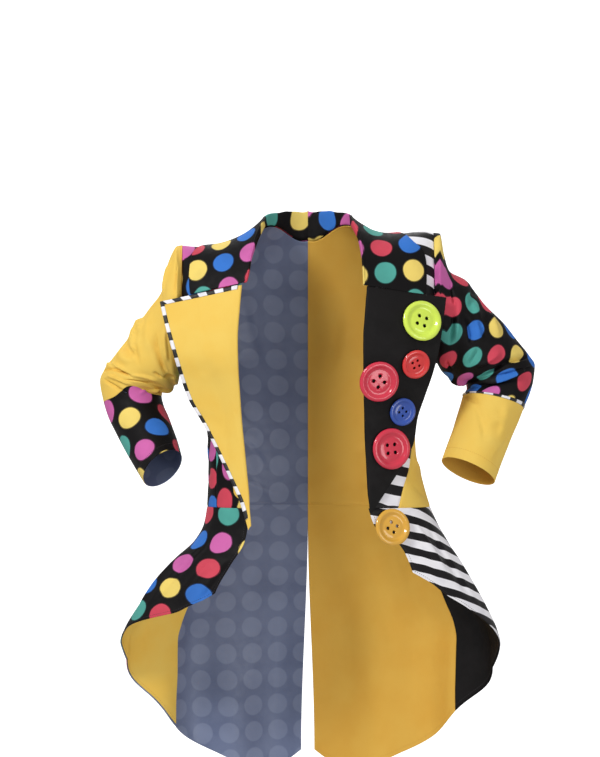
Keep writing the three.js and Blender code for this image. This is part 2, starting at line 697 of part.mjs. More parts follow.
// A point of the arm's ring. Its forward axis is tipped back along the arm by its lean.
function armPoint(side, turn, ring) {
  const arm = ARMS[side.name];
  const middle = armMiddle(side, ring);
  const half = new THREE.Vector3(side.sign * arm.at("outerX", ring), middle.y, arm.at("outerZ", ring)).sub(middle);
  const lean = arm.at("lean", ring) * DEGREE;
  const back = new THREE.Vector3(-half.z * side.sign, 0, half.x * side.sign).normalize();
  const forward = FORWARD.clone().multiplyScalar(Math.cos(lean)).addScaledVector(back, Math.sin(lean));
  const depth = arm.at("depth", ring);
  const shrink = 1 - foldDepth(side, ring, (((turn / DEGREE) % 360) + 360) % 360) / depth;
  return middle
    .addScaledVector(half, Math.cos(turn) * shrink)
    .addScaledVector(forward, Math.sin(turn) * depth * shrink);
}

// The sleeve leaves the armhole's edge and takes on the arm's ring over its first row.
function sleevePoint(side, turn, ring) {
  const point = armPoint(side, turn, ring);
  if (ring >= 1) return point;
  const radius = armholeRadius(side, turn);
  const seam = new THREE.Vector3(
    side.sign * (ARMHOLE_X + SEAM_GAP),
    -radius * Math.sin(turn),
    ARMHOLE_MIDDLE_Z + radius * Math.cos(turn),
  );
  return point.addScaledVector(seam.sub(armPoint(side, turn, 0)), 1 - ring);
}

const SLEEVE_TURNS = steps(18, 0, 2 * Math.PI).slice(0, -1);

function makeSleeve(side, from, to, count) {
  const surface = (turn, ring) => sleevePoint(side, turn, ring);
  const vs = from === 0 ? [0, 0.45, ...steps(count, 1, to)] : steps(count, from, to);
  const trim = (point, turn, ring) => (ring === 0 ? point.setX(side.sign * (ARMHOLE_X + SEAM_GAP)) : point);
  const outward = sideways(side);
  return wall({ surface, us: SLEEVE_TURNS, vs, closed: true, outward, hint: [0, 0.3], trim });
}

function makeCuffEdging(side) {
  const cut = CUT_RING[side.name];
  const half = 0.17;
  const surface = (turn, v) => sleevePoint(side, turn, lerp(cut - half, cut + half, v));
  const lift = SEAM_GAP + EDGING.thickness;
  const { thickness } = EDGING;
  const outward = sideways(side);
  return wall({ surface, us: SLEEVE_TURNS, vs: steps(2), closed: true, lift, thickness, outward, hint: [0, 0.5] });
}

// The show buttons: a dished disc with a round rim and four holes, as one solid with the holes cut through.
function solidOf(geometry) {
  const bare = geometry.clone();
  bare.deleteAttribute("normal");
  bare.deleteAttribute("uv");
  const merged = mergeVertices(bare, 1e-4);
  return new wasm.Manifold(
    new wasm.Mesh({
      numProp: 3,
      vertProperties: merged.getAttribute("position").array,
      triVerts: new Uint32Array(merged.index.array),
    }),
  );
}

function geometryOf(solid) {
  const mesh = solid.getMesh();
  return new THREE.BufferGeometry()
    .setAttribute("position", new THREE.BufferAttribute(mesh.vertProperties, 3))
    .setIndex(new THREE.BufferAttribute(mesh.triVerts, 1));
}

function makeButton(diameter) {
  const r = diameter / 2;
  const rim = 0.115 * diameter; // height of the rim
  const floor = 0.055 * diameter; // height of the dish's floor
  const hole = 0.048 * diameter;
  const spacing = 0.098 * diameter;
  const profile = [
    [0, 0],
    [0.9 * r, 0],
    [r, 0.45 * rim],
    [0.93 * r, 0.88 * rim],
    [0.82 * r, rim],
    [0.68 * r, 0.8 * rim],
    [0.58 * r, floor],
    [0, floor],
  ].map(([x, y]) => new THREE.Vector2(x, y));
  let solid = solidOf(new THREE.LatheGeometry(profile, 18));
  for (const [i, j] of [[-1, -1], [-1, 1], [1, -1], [1, 1]]) {
    const drill = new THREE.CylinderGeometry(hole, hole, 4 * rim, 6);
    drill.translate(i * spacing, 0, j * spacing);
    solid = solid.subtract(solidOf(drill));
  }
  return geometryOf(solid);
}

// Rests a button on a cloth, whose surface is given as a point for each x and z seen from the front: its face takes
// the mean slope of the cloth beneath, and it lies a seam's gap off the cloth's nearest point.
function placeButton({ name, diameter, colour, x, z, twist }, surfaceAt, carrier) {
  const r = diameter / 2;
  const beneath = [surfaceAt(x, z)];
  for (const share of [0.35, 0.7, 1])
    for (let i = 0; i < 16; i++) {
      const angle = (i * Math.PI) / 8;
      beneath.push(surfaceAt(x + share * r * Math.cos(angle), z + share * r * Math.sin(angle)));
    }
  const [middle] = beneath;
  const ring = beneath.slice(-16);
  const normal = new THREE.Vector3();
  ring.forEach((p, i) => normal.add(p.clone().sub(middle).cross(ring[(i + 1) % 16].clone().sub(middle))));
  normal.normalize();
  if (normal.y > 0) normal.negate();
  const clear = Math.max(...beneath.map((p) => p.clone().sub(middle).dot(normal)));
  const button = add(name, makeButton(diameter), gloss(colour));
  button.quaternion.setFromUnitVectors(new THREE.Vector3(0, 1, 0), normal);
  button.rotateY(twist);
  button.position.copy(middle).addScaledVector(normal, clear + 2);
  const cloth = solidOf(coat.getObjectByName(carrier).geometry);
  for (let i = 0; i < 4; i++) {
    button.updateMatrixWorld(true);
    const gap = cloth.minGap(solidOf(button.geometry.clone().applyMatrix4(button.matrixWorld)), 20);
    button.position.addScaledVector(normal, SEAM_GAP - gap);
  }
}

// Buttons on the left lapel, by their place across it and down it.
const LAPEL_BUTTONS = [
  { name: "button_lime", diameter: 72, colour: 0xc2ec34, x: 200, z: -139, twist: 0.3 },
  { name: "button_red_small", diameter: 52, colour: 0xe3262b, x: 189, z: -214, twist: 0.1 },
  { name: "button_rose_upper", diameter: 72, colour: 0xd8294a, x: 124, z: -245, twist: 0.4 },
  { name: "button_blue_small", diameter: 50, colour: 0x2149c4, x: 166, z: -299, twist: 0 },
  { name: "button_rose_lower", diameter: 73, colour: 0xd8294a, x: 145, z: -365, twist: 0.05 },
];
const WAIST_BUTTON = { name: "button_waist_yellow", diameter: 66, colour: 0xf0bb2e, x: 148, z: -504, twist: 0.2 };

// The row and share across the lapel of a point seen from the front.
function onLapel(side, x, z) {
  const lapel = LAPELS[side.name];
  let u = 0.5;
  let row = 4;
  for (let i = 0; i < 40; i++) {
    const rowLow = lapel.at("innerZ", row) * (1 - u) + lapel.at("outerZ", row) * u;
    row = Math.min(LAPEL_ROWS, Math.max(0, row + (rowLow - z) / 50));
    const inner = lapel.at("innerX", row);
    u = (x - inner) / (lapel.at("outerX", row) - inner);
  }
  return [u, row];
}

for (const side of SIDES) {
  const right = side === RIGHT;
  add(`front_${side.name}`, makeFront(side), cloth(right ? CLOTH.dots : CLOTH.stripes));
  add(`side_body_${side.name}`, makeSideBody(side), cloth(right ? CLOTH.dots : CLOTH.yellow));
  add(`back_${side.name}`, makeBack(side), cloth(right ? CLOTH.dots : CLOTH.yellow));
  add(`skirt_${side.name}`, makeSkirt(side), cloth(right ? CLOTH.dots : CLOTH.stripes));
  add(`facing_${side.name}`, makeFacing(side), cloth(right ? CLOTH.yellow : CLOTH.black));
  add(`tail_${side.name}`, makeTail(side), cloth(right ? CLOTH.dots : CLOTH.yellow));
  add(`lapel_${side.name}`, makeLapel(side), cloth(right ? CLOTH.yellow : CLOTH.black));
}
add("collar", makeCollar(), cloth(CLOTH.dots));
add("sleeve_upper_right", makeSleeve(RIGHT, 0, CUT_RING.right - SLEEVE_SEAM, 11), cloth(CLOTH.yellow));
add("sleeve_lower_right", makeSleeve(RIGHT, CUT_RING.right + SLEEVE_SEAM, CUFF_RING.right, 5), cloth(CLOTH.dots));
add("sleeve_upper_left", makeSleeve(LEFT, 0, CUT_RING.left - SLEEVE_SEAM, 14), cloth(CLOTH.dots));
add("cuff_left", makeSleeve(LEFT, CUT_RING.left + SLEEVE_SEAM, CUFF_RING.left, 4), cloth(CLOTH.yellow));
add("edging_lapel_right", makeLapelEdging(RIGHT), cloth(CLOTH.edging));
add("edging_cuff_left", makeCuffEdging(LEFT), cloth(CLOTH.edging));
for (const button of LAPEL_BUTTONS)
  placeButton(button, (x, z) => lapelSurface(LEFT)(...onLapel(LEFT, x, z)), "lapel_left");
const onSkirt = (x, z) => {
  const out = RINGS.at("front", z) * reach(x / RINGS.at("left", z), RINGS.at("power", z));
  return new THREE.Vector3(x, -out, z);
};
placeButton(WAIST_BUTTON, onSkirt, "skirt_left");

export default coat;
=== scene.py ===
"""Dresses a clown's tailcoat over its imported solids: cloth, edging, seams, stitches and show buttons.

Runs in Blender 4.5. The tables that shape the cloth are in millimetres, and MM turns them into Blender's metres.
+Z is up, the front looks to -Y and +X is the wearer's left. The origin is the middle of the neck base.
"""

import math
from collections import namedtuple

import bpy
import numpy as np
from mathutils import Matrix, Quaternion, Vector


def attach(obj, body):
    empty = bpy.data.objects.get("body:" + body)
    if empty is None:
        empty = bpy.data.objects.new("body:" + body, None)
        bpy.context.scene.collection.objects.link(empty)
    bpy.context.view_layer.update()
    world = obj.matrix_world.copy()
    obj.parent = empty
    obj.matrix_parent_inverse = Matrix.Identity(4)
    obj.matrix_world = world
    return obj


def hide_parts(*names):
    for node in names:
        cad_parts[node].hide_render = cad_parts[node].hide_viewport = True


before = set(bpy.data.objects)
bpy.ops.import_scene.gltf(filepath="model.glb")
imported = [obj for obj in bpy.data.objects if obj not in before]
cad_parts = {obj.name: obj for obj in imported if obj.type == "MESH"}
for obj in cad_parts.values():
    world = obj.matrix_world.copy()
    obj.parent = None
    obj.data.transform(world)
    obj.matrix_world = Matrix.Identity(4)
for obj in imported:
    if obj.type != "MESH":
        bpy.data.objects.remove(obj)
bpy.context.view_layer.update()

bl_info = {
    "name": "Clown Tailcoat",
    "version": (1, 0, 0),
    "blender": (4, 5, 0),
    "location": "3D View > Sidebar > Tailcoat",
    "description": "Sews the cloth, the edging and the show buttons of a clown's tailcoat over its solids",
    "category": "Add Mesh",
}

MM = 0.001
DEGREE = math.pi / 180


# ---------------------------------------------------------------------------------------------------- tables and curves


class Table:
    """Rows with named columns. The first column is the key, and at(column, key) runs smoothly through the rows."""

    def __init__(self, heading, rows):
        rows = np.array(sorted(rows), float)
        self.keys = rows[:, 0]
        self.columns = dict(zip(heading.split(), rows.T))
        self.slopes = {name: self.monotone(column) for name, column in self.columns.items()}

    def monotone(self, values):
        rise = np.diff(values) / np.diff(self.keys)
        before, after = rise[:-1], rise[1:]
        same = before * after > 0
        inner = np.where(same, 2 * before * after / np.where(same, before + after, 1), 0)
        return np.concatenate([rise[:1], inner, rise[-1:]])

    def at(self, name, key):
        keys, values, slopes = self.keys, self.columns[name], self.slopes[name]
        k = np.clip(key, keys[0], keys[-1])
        i = np.clip(np.searchsorted(keys, k) - 1, 0, len(keys) - 2)
        h = keys[i + 1] - keys[i]
        t = (k - keys[i]) / h
        s = 1 - t
        ends = values[i] * s * s * (1 + 2 * t) + values[i + 1] * t * t * (3 - 2 * t)
        return ends + slopes[i] * h * t * s * s - slopes[i + 1] * h * t * t * s


def lerp(a, b, t):
    return a + (b - a) * t


def smooth(t):
    t = np.clip(t, 0, 1)
    return t * t * (3 - 2 * t)


def reach(c, power):
    """How far a unit superellipse reaches at x = c."""
    return np.maximum(0, 1 - np.abs(c) ** power) ** (1 / power)


def angle_at(c, power):
    return np.arctan2(reach(c, power), c)


def unit(vectors):
    return vectors / np.maximum(np.linalg.norm(vectors, axis=-1, keepdims=True), 1e-12)


def point(x, y, z):
    return np.stack(np.broadcast_arrays(x, y, z), -1)


def dot(a, b):
    return np.sum(a * b, axis=-1)


# ------------------------------------------------------------------------------------------------- the coat's own shape

WALL = 1.6
FACING_WALL = 1.3
SEAM_GAP = -0.1  # the cloth's pieces close the small gap that the solids keep at each seam
SOLID_GAP = 0.3
INSET = SEAM_GAP / 2
CHEST_Z = -205
WAIST_Z = -470
ARMHOLE_X = 226
ARMHOLE_MIDDLE_Z = -105
ARMHOLE_LAP = 0.1  # how far a sleeve reaches past the front's and the back's edge

Side = namedtuple("Side", "name sign tail_seam corner")
RIGHT = Side("right", -1, -44.5 * DEGREE, 55 * DEGREE)
LEFT = Side("left", 1, -36.5 * DEGREE, 49 * DEGREE)

# Half widths, how far the front and the back stand from the middle, and how square the ring is.
RINGS = Table(
    "z right left front back power",
    [
        (-205, 240, 240, 126, 114, 2.8),
        (-235, 214, 216, 125, 111, 2.6),
        (-270, 196, 201, 122, 106, 2.5),
        (-320, 184, 192, 117, 100, 2.4),
        (-370, 179, 194, 114, 98, 2.4),
        (-430, 180, 208, 117, 102, 2.3),
        (-470, 182, 220, 121, 110, 2.2),
        (-500, 187, 233, 124, 119, 2.15),
        (-530, 203, 250, 127, 130, 2.1),
        (-567, 243, 272, 130, 143, 2.05),
        (-605, 277, 294, 132, 154, 2),
        (-645, 303, 316, 133, 163, 2),
        (-690, 330, 340, 134, 173, 2),
        (-720, 340, 347, 135, 178, 2),
        (-780, 342, 348, 135, 186, 2),
        (-870, 344, 348, 135, 195, 2),
        (-970, 345, 348, 135, 202, 2),
    ],
)

# The shoulder line, and the neck inside it, by the distance from the middle.
SHOULDERS = Table(
    "x right left",
    [
        (0, 76, 76),
        (40, 57, 58),
        (76, 33, 35),
        (100, 21, 27),
        (115, 14, 22),
        (140, 5, 18.5),
        (165, -1, 20.5),
        (192, -3, 25),
        (208, -2.5, 26),
        (226, 0, 22.5),
    ],
)

# Where the fronts end towards the middle.
FRONT_EDGES = Table(
    "z right left",
    [
        (-470, 104, 107),
        (-430, 107, 104),
        (-370, 112, 101),
        (-315, 117, 99),
        (-220, 123, 98),
        (-120, 121, 99),
        (-60, 110, 99),
        (0, 92, 92),
        (35, 77, 77),
    ],
)

# The skirts' front edges, as shares of the ring's half width.
SKIRT_EDGES = Table(
    "z right left",
    [
        (-470, 0.584, 0.486),
        (-500, 0.575, 0.502),
        (-520, 0.561, 0.56),
        (-538, 0.552, 0.64),
        (-560, 0.547, 0.655),
        (-585, 0.55, 0.645),
        (-620, 0.567, 0.64),
    ],
)

# The hem's height by its angle round the ring, in degrees: 90 is the front, 0 the side and -90 the back.
HEM = Table(
    "angle right left",
    [
        (55, -620, -576),
        (50, -634, -582),
        (45, -645, -594),
        (41, -655, -605),
        (36, -660, -625),
        (28, -667, -645),
        (20, -674, -667),
        (11, -683, -690),
        (5, -692, -705),
        (0, -706, -718),
        (-10, -733, -748),
        (-17, -759, -772),
        (-24, -788, -800),
        (-32, -822, -830),
        (-42, -871, -872),
        (-60, -929, -930),
        (-72, -957, -957),
        (-80, -962, -962),
        (-86, -948, -948),
        (-90, -930, -930),
    ],
)

# The skirts stand out in soft flutes, from the side round to the back, deeper towards the hem.
FLUTE_DEPTH = 11
FLUTE_TURNS = 12
FLUTE_FROM = -15 * DEGREE
FLUTE_TOP = -520
FLUTE_FULL = -860


def flute(angle, z):
    growth = smooth((FLUTE_TOP - z) / (FLUTE_TOP - FLUTE_FULL))
    wave = FLUTE_DEPTH * growth * np.sin(FLUTE_TURNS * (FLUTE_FROM - angle))
    return np.where(angle > FLUTE_FROM, 0, wave)


def ring_point(side, angle, z):
    """A point of the coat's ring at that height: angle 0 is the side, a quarter turn the front, and less the back."""
    power = RINGS.at("power", z)
    cos, sin = np.cos(angle), np.sin(angle)
    ray = (np.abs(cos) ** power + np.abs(sin) ** power) ** (-1 / power)
    wave = flute(angle, z)
    width = RINGS.at(side.name, z) + wave
    depth = np.where(sin > 0, RINGS.at("front", z), RINGS.at("back", z)) + wave
    return point(side.sign * width * ray * cos, -depth * ray * sin, z)


def panel_point(side, face, x, level):
    """A point of the front or back: level -1 to 0 is the waist to the chest, 0 to 1 the chest to the shoulder line."""
    x, level = np.broadcast_arrays(np.asarray(x, float), np.asarray(level, float))
    z = np.where(level > 0, CHEST_Z, lerp(CHEST_Z, WAIST_Z, -level))
    depth = RINGS.at(face, z) * reach(x / RINGS.at(side.name, z), RINGS.at("power", z))
    turn = np.maximum(level, 0) * math.pi / 2
    height = np.where(level > 0, lerp(CHEST_Z, SHOULDERS.at(side.name, x), np.sin(turn)), z)
    out = depth * np.cos(turn)
    return point(side.sign * x, -out if face == "front" else out, height)


def edge_x(side, level):
    """The x at which the front ends at that level."""
    x = np.full_like(np.asarray(level, float), 100)
    for _ in range(8):
        x = FRONT_EDGES.at(side.name, panel_point(side, "front", x, level)[..., 2])
    return x


# The seams that run down each side from the armhole, by their angle round the ring in degrees.
ARMHOLE_ANGLE = float(angle_at(ARMHOLE_X / 240, 2.8) / DEGREE)
SIDE_SEAMS = Table(
    "z right left back",
    [
        (CHEST_Z, ARMHOLE_ANGLE, ARMHOLE_ANGLE, -ARMHOLE_ANGLE),
        (-270, 28, 25, -29),
        (-320, 28, 20, -30),
        (-350, 28, 19.5, -30),
        (-390, 28, 27, -30),
        (-430, 28, 38, -31),
        (WAIST_Z, 28, 45, -32),
    ],
)


def seam_x(side, face, level):
    z = lerp(CHEST_Z, WAIST_Z, np.maximum(-level, 0))
    seam = SIDE_SEAMS.at(side.name if face == "front" else "back", z) * DEGREE
    return np.where(level >= 0, ARMHOLE_X, np.abs(ring_point(side, seam, z)[..., 0]))


NECK_X = 77
NECK_BACK_LEVEL = 0.56


def front_surface(side, hidden):
    """The front, which stops short of its edge by the hidden amount, behind the lapel's roll."""

    def surface(u, level):
        inner = edge_x(side, level) + INSET + hidden
        outer = seam_x(side, "front", level) - INSET
        return panel_point(side, "front", lerp(inner, outer, u), level)

    return surface


def back_surface(side):
    def surface(u, level):
        x = lerp(INSET, seam_x(side, "back", level) - INSET, u)
        top = np.where(x < NECK_X, lerp(NECK_BACK_LEVEL, 1, (x / NECK_X) ** 2), 1)
        return panel_point(side, "back", x, np.where(level > 0, level * top, level))

    return surface


def side_body_surface(side):
    def top_at(angle):
        low, high = np.full_like(angle, CHEST_Z - 35.0), np.full_like(angle, float(CHEST_Z))
        for _ in range(30):
            middle = (low + high) / 2
            inside = np.abs(ring_point(side, angle, middle)[..., 0]) < ARMHOLE_X - INSET
            low, high = np.where(inside, middle, low), np.where(inside, high, middle)
        return low

    def surface(u, level):
        z = lerp(CHEST_Z, WAIST_Z, -level)
        front, back = (SIDE_SEAMS.at(name, z) * DEGREE for name in (side.name, "back"))
        angle = lerp(front, back, lerp(-0.001, 1.001, u))
        last = -0.125
        climb = 1 - level / last
        top = lerp(lerp(CHEST_Z, WAIST_Z, -last), top_at(angle) - 0.4, climb)
        return ring_point(side, angle, np.where(level <= last, z, top))

    return surface


def skirt_surface(side):
    def surface(u, v):
        z = lerp(WAIST_Z + 0.1, HEM.at(side.name, lerp(side.corner, side.tail_seam, u) / DEGREE), v)
        edge = angle_at(SKIRT_EDGES.at(side.name, z), RINGS.at("power", z))
        front = lerp(edge, side.corner, smooth(v) ** 3)
        return ring_point(side, lerp(front, side.tail_seam + SEAM_GAP / 340, u), z)

    return surface


VENT_TOP = -500
VENT_BOTTOM = -930
VENT_OPENING = 12


def tail_surface(side):
    def surface(u, v):
        angle = lerp(side.tail_seam - SEAM_GAP / 340, -math.pi / 2, u)
        z = lerp(WAIST_Z + 0.1, HEM.at(side.name, angle / DEGREE), v)
        opening = INSET + VENT_OPENING * smooth((VENT_TOP - z) / (VENT_TOP - VENT_BOTTOM)) * u
        place = ring_point(side, angle, z)
        place[..., 0] += side.sign * opening
        return place

    return surface


# A stiff panel laid on the front follows it as far as BEND of the half width, and then keeps a part of its slope.
BEND = 0.8
STIFF = 0.5


def front_depth(side, x, z):
    ring = np.minimum(z, CHEST_Z)
    power, width = RINGS.at("power", ring), RINGS.at(side.name, ring)
    share = np.minimum(x / width, BEND)
    slope = share ** (power - 1) * reach(share, power) ** (1 - power) * STIFF
    depth = RINGS.at("front", ring) * (reach(share, power) - slope * (x / width - share))
    rise = (z - CHEST_Z) / (SHOULDERS.at(side.name, x) - CHEST_Z)
    return np.where(z <= CHEST_Z, depth, depth * np.cos(np.arcsin(np.clip(rise, 0, 0.999))))


LAPELS = {
    "right": Table(
        "row innerX innerZ outerX outerZ",
        [
            (0, 117, -74, 263, -104),
            (1, 121, -120, 253, -146),
            (2, 124, -170, 241, -188),
            (3, 123, -220, 227, -235),
            (4, 120, -270, 212, -277),
            (5, 117, -315, 188, -318),
            (6, 112, -365, 162, -369),
            (7, 107, -415, 138, -419),
            (8, 103, -455, 120, -459),
            (9, 99, -496, 106, -508),
        ],
    ),
    "left": Table(
        "row innerX innerZ outerX outerZ",
        [
            (0, 104, -76, 246, -96),
            (1, 100, -125, 240, -141),
            (2, 97, -170, 233, -186),
            (3, 97, -220, 222, -231),
            (4, 98, -270, 208, -272),
            (5, 99, -310, 195, -312),
            (6, 100, -350, 189, -352),
            (7, 102, -385, 172, -388),
            (8, 104, -425, 146, -428),
            (9, 107, -472, 113, -478),
        ],
    ),
}
LAPEL_ROWS = 9
LAPEL_ROLL = 4.5
GORGE_ROLL = 0.9
LAPEL_EVEN = (-14, -7, 0, 7, 14)  # the stiff lapel doesn't show the slight bend in the front under it


def lapel_surface(side):
    lapel = LAPELS[side.name]

    def surface(u, row):
        x = lerp(lapel.at("innerX", row), lapel.at("outerX", row), u)
        z = lerp(lapel.at("innerZ", row), lapel.at("outerZ", row), u)
        full = lerp(GORGE_ROLL, LAPEL_ROLL, smooth(row / 2))
        roll = lerp(GORGE_ROLL, full, smooth(u * 6))
        depth = sum(front_depth(side, x, z + off) for off in LAPEL_EVEN) / len(LAPEL_EVEN)
        return point(side.sign * x, -depth - roll - WALL - SOLID_GAP - 0.2, z)

    return surface


ROLL_RADIUS = 3.3
ROLL_SHARE = -0.3
FLAP = 24  # how far the lapel's cloth runs on inside the front, past its roll


def rolled_lapel_surface(side):
    """The lapel with its roll: from u = 0 it goes round the front's edge, and on inside it down to u = -1."""
    lapel, lies = LAPELS[side.name], lapel_surface(side)

    def surface(u, row):
        inner, outer = lapel.at("innerX", row) + ROLL_RADIUS, lapel.at("outerX", row)
        share = (lerp(inner, outer, np.maximum(u, 0)) - inner + ROLL_RADIUS) / (outer - inner + ROLL_RADIUS)
        place = lies(share, row)
        start = lies(ROLL_RADIUS / (outer - inner + ROLL_RADIUS), row)
        arc = math.pi * np.clip(u / ROLL_SHARE, 0, 1)
        inside = smooth((start[..., 2] - WAIST_Z + 2) / 30)
        flap = FLAP * inside * np.clip((ROLL_SHARE - u) / (1 + ROLL_SHARE), 0, 1)
        radius = ROLL_RADIUS * lerp(0.55, 1, inside)
        x = inner - radius * np.sin(arc) + flap
        depth = -start[..., 1] - radius * (1 - np.cos(arc))
        depth = depth + front_depth(side, inner + flap, start[..., 2]) - front_depth(side, inner, start[..., 2])
        behind = point(side.sign * x, -depth, start[..., 2])
        return np.where((u >= 0)[..., None], place, behind)

    return surface


EDGING_WIDTH = 6.6
EDGING_START = 0.05  # how far across the lapel it starts, next to the neck


def lapel_edging_surface(side):
    """The edging's outer face: across runs over it and round the edge, along from the neck by the corner to the tip."""
    lapel = lapel_surface(side)

    def shares(along):
        row = np.maximum(along, 0)
        width = np.linalg.norm(lapel(np.ones_like(row), row) - lapel(np.zeros_like(row), row), axis=-1)
        return row, EDGING_WIDTH / np.maximum(width, 14)

    def on_lapel(u, along):
        row, across = shares(along)
        _, first = shares(np.zeros_like(along))
        margin = EDGING_WIDTH / 44
        top = lapel(lerp(EDGING_START, 1 - first * (1 - u), np.minimum(along, 0) + 1), margin * (1 - u))
        side_edge = lapel(1 - across * (1 - u), np.maximum(row, margin * (1 - u)))
        return np.where((along < 0)[..., None], top, side_edge)

    def surface(across, along):
        section = EDGING_SECTION
        u, out, rise = (section.at(name, across) for name in ("over", "out", "rise"))
        place = on_lapel(u, along)
        inward = unit(on_lapel(np.ones_like(u), along) - on_lapel(np.full_like(u, 0.6), along))
        ahead = on_lapel(np.full_like(u, 0.8), along + 0.02) - on_lapel(np.full_like(u, 0.8), along - 0.02)
        normal = unit(np.cross(inward, ahead))
        normal = normal * np.where(normal[..., 1] > 0, -1, 1)[..., None]
        return place + inward * out[..., None] + normal * rise[..., None]

    return surface


# The edging's section from its sewn inner edge, over the cloth and round the lapel's edge to its back, in millimetres.
EDGING_SECTION = Table(
    "stop over out rise",
    [
        (0, 0, 0, 0.2),
        (1, 0.05, 0, 0.8),
        (2, 0.2, 0, 1.3),
        (3, 0.45, 0, 1.6),
        (4, 0.72, 0, 1.6),
        (5, 0.93, 0, 1.3),
        (6, 1, 0.5, 0.9),
        (7, 1, 1.0, 0.1),
        (8, 1, 1.1, -0.9),
        (9, 1, 0.7, -2.0),
        (10, 0.94, 0, -2.4),
        (11, 0.6, 0, -2.5),
        (12, 0.3, 0, -2.45),
    ],
)


COLLAR_ROWS = "share outerX outerTurn height roll"
COLLARS = {
    "right": Table(
        COLLAR_ROWS,
        [
            (0, 207, 34.5, 4, 1.3),
            (0.15, 211, 47, 6, 1.6),
            (0.3, 207, 66, 10, 2),
            (0.42, 190, 84, 13, 2.3),
            (0.52, 162, 97, 17, 2.5),
            (0.64, 132, 110, 23, 2.5),
            (0.76, 98, 121, 38, 2.5),
            (0.88, 52, 129, 48, 2.5),
            (1, 0, 132, 50, 2.5),
        ],
    ),
    "left": Table(
        COLLAR_ROWS,
        [
            (0, 207, 30.3, 4, 1.3),
            (0.15, 210, 44, 6, 1.6),
            (0.3, 206, 55, 9, 2),
            (0.42, 188, 65, 12, 2.3),
            (0.52, 168, 82, 17, 2.5),
            (0.64, 136, 104, 23, 2.5),
            (0.76, 98, 121, 38, 2.5),
            (0.88, 52, 129, 48, 2.5),
            (1, 0, 132, 50, 2.5),
        ],
    ),
}
COLLAR_NEAR = 6.5
COLLAR_FAR = 3.6
COLLAR_DROP = 4
COLLAR_SEAM = 2.2
COLLAR_STAND = 0.2
COLLAR_OVER = 0.3
GORGE_SHARE = 0.15
GORGE_GAP = {"right": 1.5, "left": -1.3}  # how far above the lapel's top edge the collar ends, for the edging
NECK_SHARE = 0.5


def shoulder_point(side, x, turn, out):
    """A point of the upper body at x and a turn over the shoulder in degrees, moved out."""
    x, turn, out = np.broadcast_arrays(x, turn, out)
    found = []
    for face, level, lean in (("front", turn / 90, -0.4), ("back", (180 - turn) / 90, 0.4)):
        top = np.minimum(level, 0.9999)
        along = panel_point(side, face, np.maximum(0, x + 1), top) - panel_point(side, face, np.maximum(0, x - 1), top)
        rise = np.minimum(level + 1e-3, 0.9999), np.minimum(level - 1e-3, 0.9999)
        across = panel_point(side, face, x, rise[0]) - panel_point(side, face, x, rise[1])
        normal = unit(np.cross(along, across))
        normal = normal * np.where(dot(normal, (0, lean, 1)) < 0, -1, 1)[..., None]
        found.append(panel_point(side, face, x, level) + normal * out[..., None])
    return np.where((turn <= 90)[..., None], *found)


def gorge_turn(side, x):
    """The turn over the shoulder, in degrees, at which the lapel's top edge crosses x."""
    lapel = LAPELS[side.name]
    share = (x - lapel.at("innerX", 0)) / (lapel.at("outerX", 0) - lapel.at("innerX", 0))
    z = lerp(lapel.at("innerZ", 0), lapel.at("outerZ", 0), share) + GORGE_GAP[side.name]
    return np.arcsin(np.clip((z - CHEST_Z) / (SHOULDERS.at(side.name, x) - CHEST_Z), -1, 1)) / DEGREE


def neck_seam(side, share):
    gorge = gorge_turn(side, LAPELS[side.name].at("innerX", 0)) / 90
    level = lerp(gorge, 1, np.minimum(share / NECK_SHARE, 1))
    x = NECK_X * (1 - (np.maximum(share, NECK_SHARE) - NECK_SHARE) / (1 - NECK_SHARE))
    behind = 180 - 90 * lerp(NECK_BACK_LEVEL, 1, (x / NECK_X) ** 2)
    front = share < NECK_SHARE
    return np.where(front, edge_x(side, level), x), np.where(front, level * 90, behind)


def half_collar(side, share, v):
    collar = COLLARS[side.name]
    x, turn = neck_seam(side, share)

    def on(t, out=None):
        if out is None:
            out = lerp(COLLAR_FAR, COLLAR_NEAR, (1 - t) ** 2 * np.minimum(1, share * 3))
        wide = lerp(x, collar.at("outerX", share), t)
        free = lerp(turn, collar.at("outerTurn", share), t)
        over = lerp(gorge_turn(side, wide), free, smooth(share / GORGE_SHARE))
        return shoulder_point(side, wide, over, out)

    neck = on(0, 0)
    stands = smooth(share / NECK_SHARE)[..., None]
    along = unit(on(0.04, 0) - neck)
    up = unit(lerp(on(0, 1) - neck, np.array([0, 0, 1.0]), stands))
    flat = unit(neck * np.array([1, 1, 0]))
    outwards = unit(lerp(along, flat, stands))
    foot = neck - along * COLLAR_SEAM
    height = collar.at("height", share)[..., None]
    roll = collar.at("roll", share)[..., None]
    v = v[..., None]
    stand = foot + up * height * v / COLLAR_STAND
    crest = foot + up * height
    arc = math.pi * np.clip((v - COLLAR_STAND) / (COLLAR_OVER - COLLAR_STAND), 0, 1)
    rolled = crest + outwards * roll * (1 - np.cos(arc)) + up * roll * np.sin(arc)
    fall = np.clip((v - COLLAR_OVER) / (1 - COLLAR_OVER), 0, 1)
    over = crest + outwards * 2 * roll
    fallen = on(fall[..., 0]) + (over - on(0)) * (1 - fall) ** COLLAR_DROP
    return np.where(v <= COLLAR_STAND, stand, np.where(v < COLLAR_OVER, rolled, fallen))


def collar_surface(u, v):
    """u runs from the right front end over the back to the left one, v from the neck seam to the outer edge."""
    u, v = np.broadcast_arrays(u, v)
    right = half_collar(RIGHT, np.minimum(u * 2, 1), v)
    left = half_collar(LEFT, np.minimum(2 - u * 2, 1), v)
    return np.where((u < 0.5)[..., None], right, left)


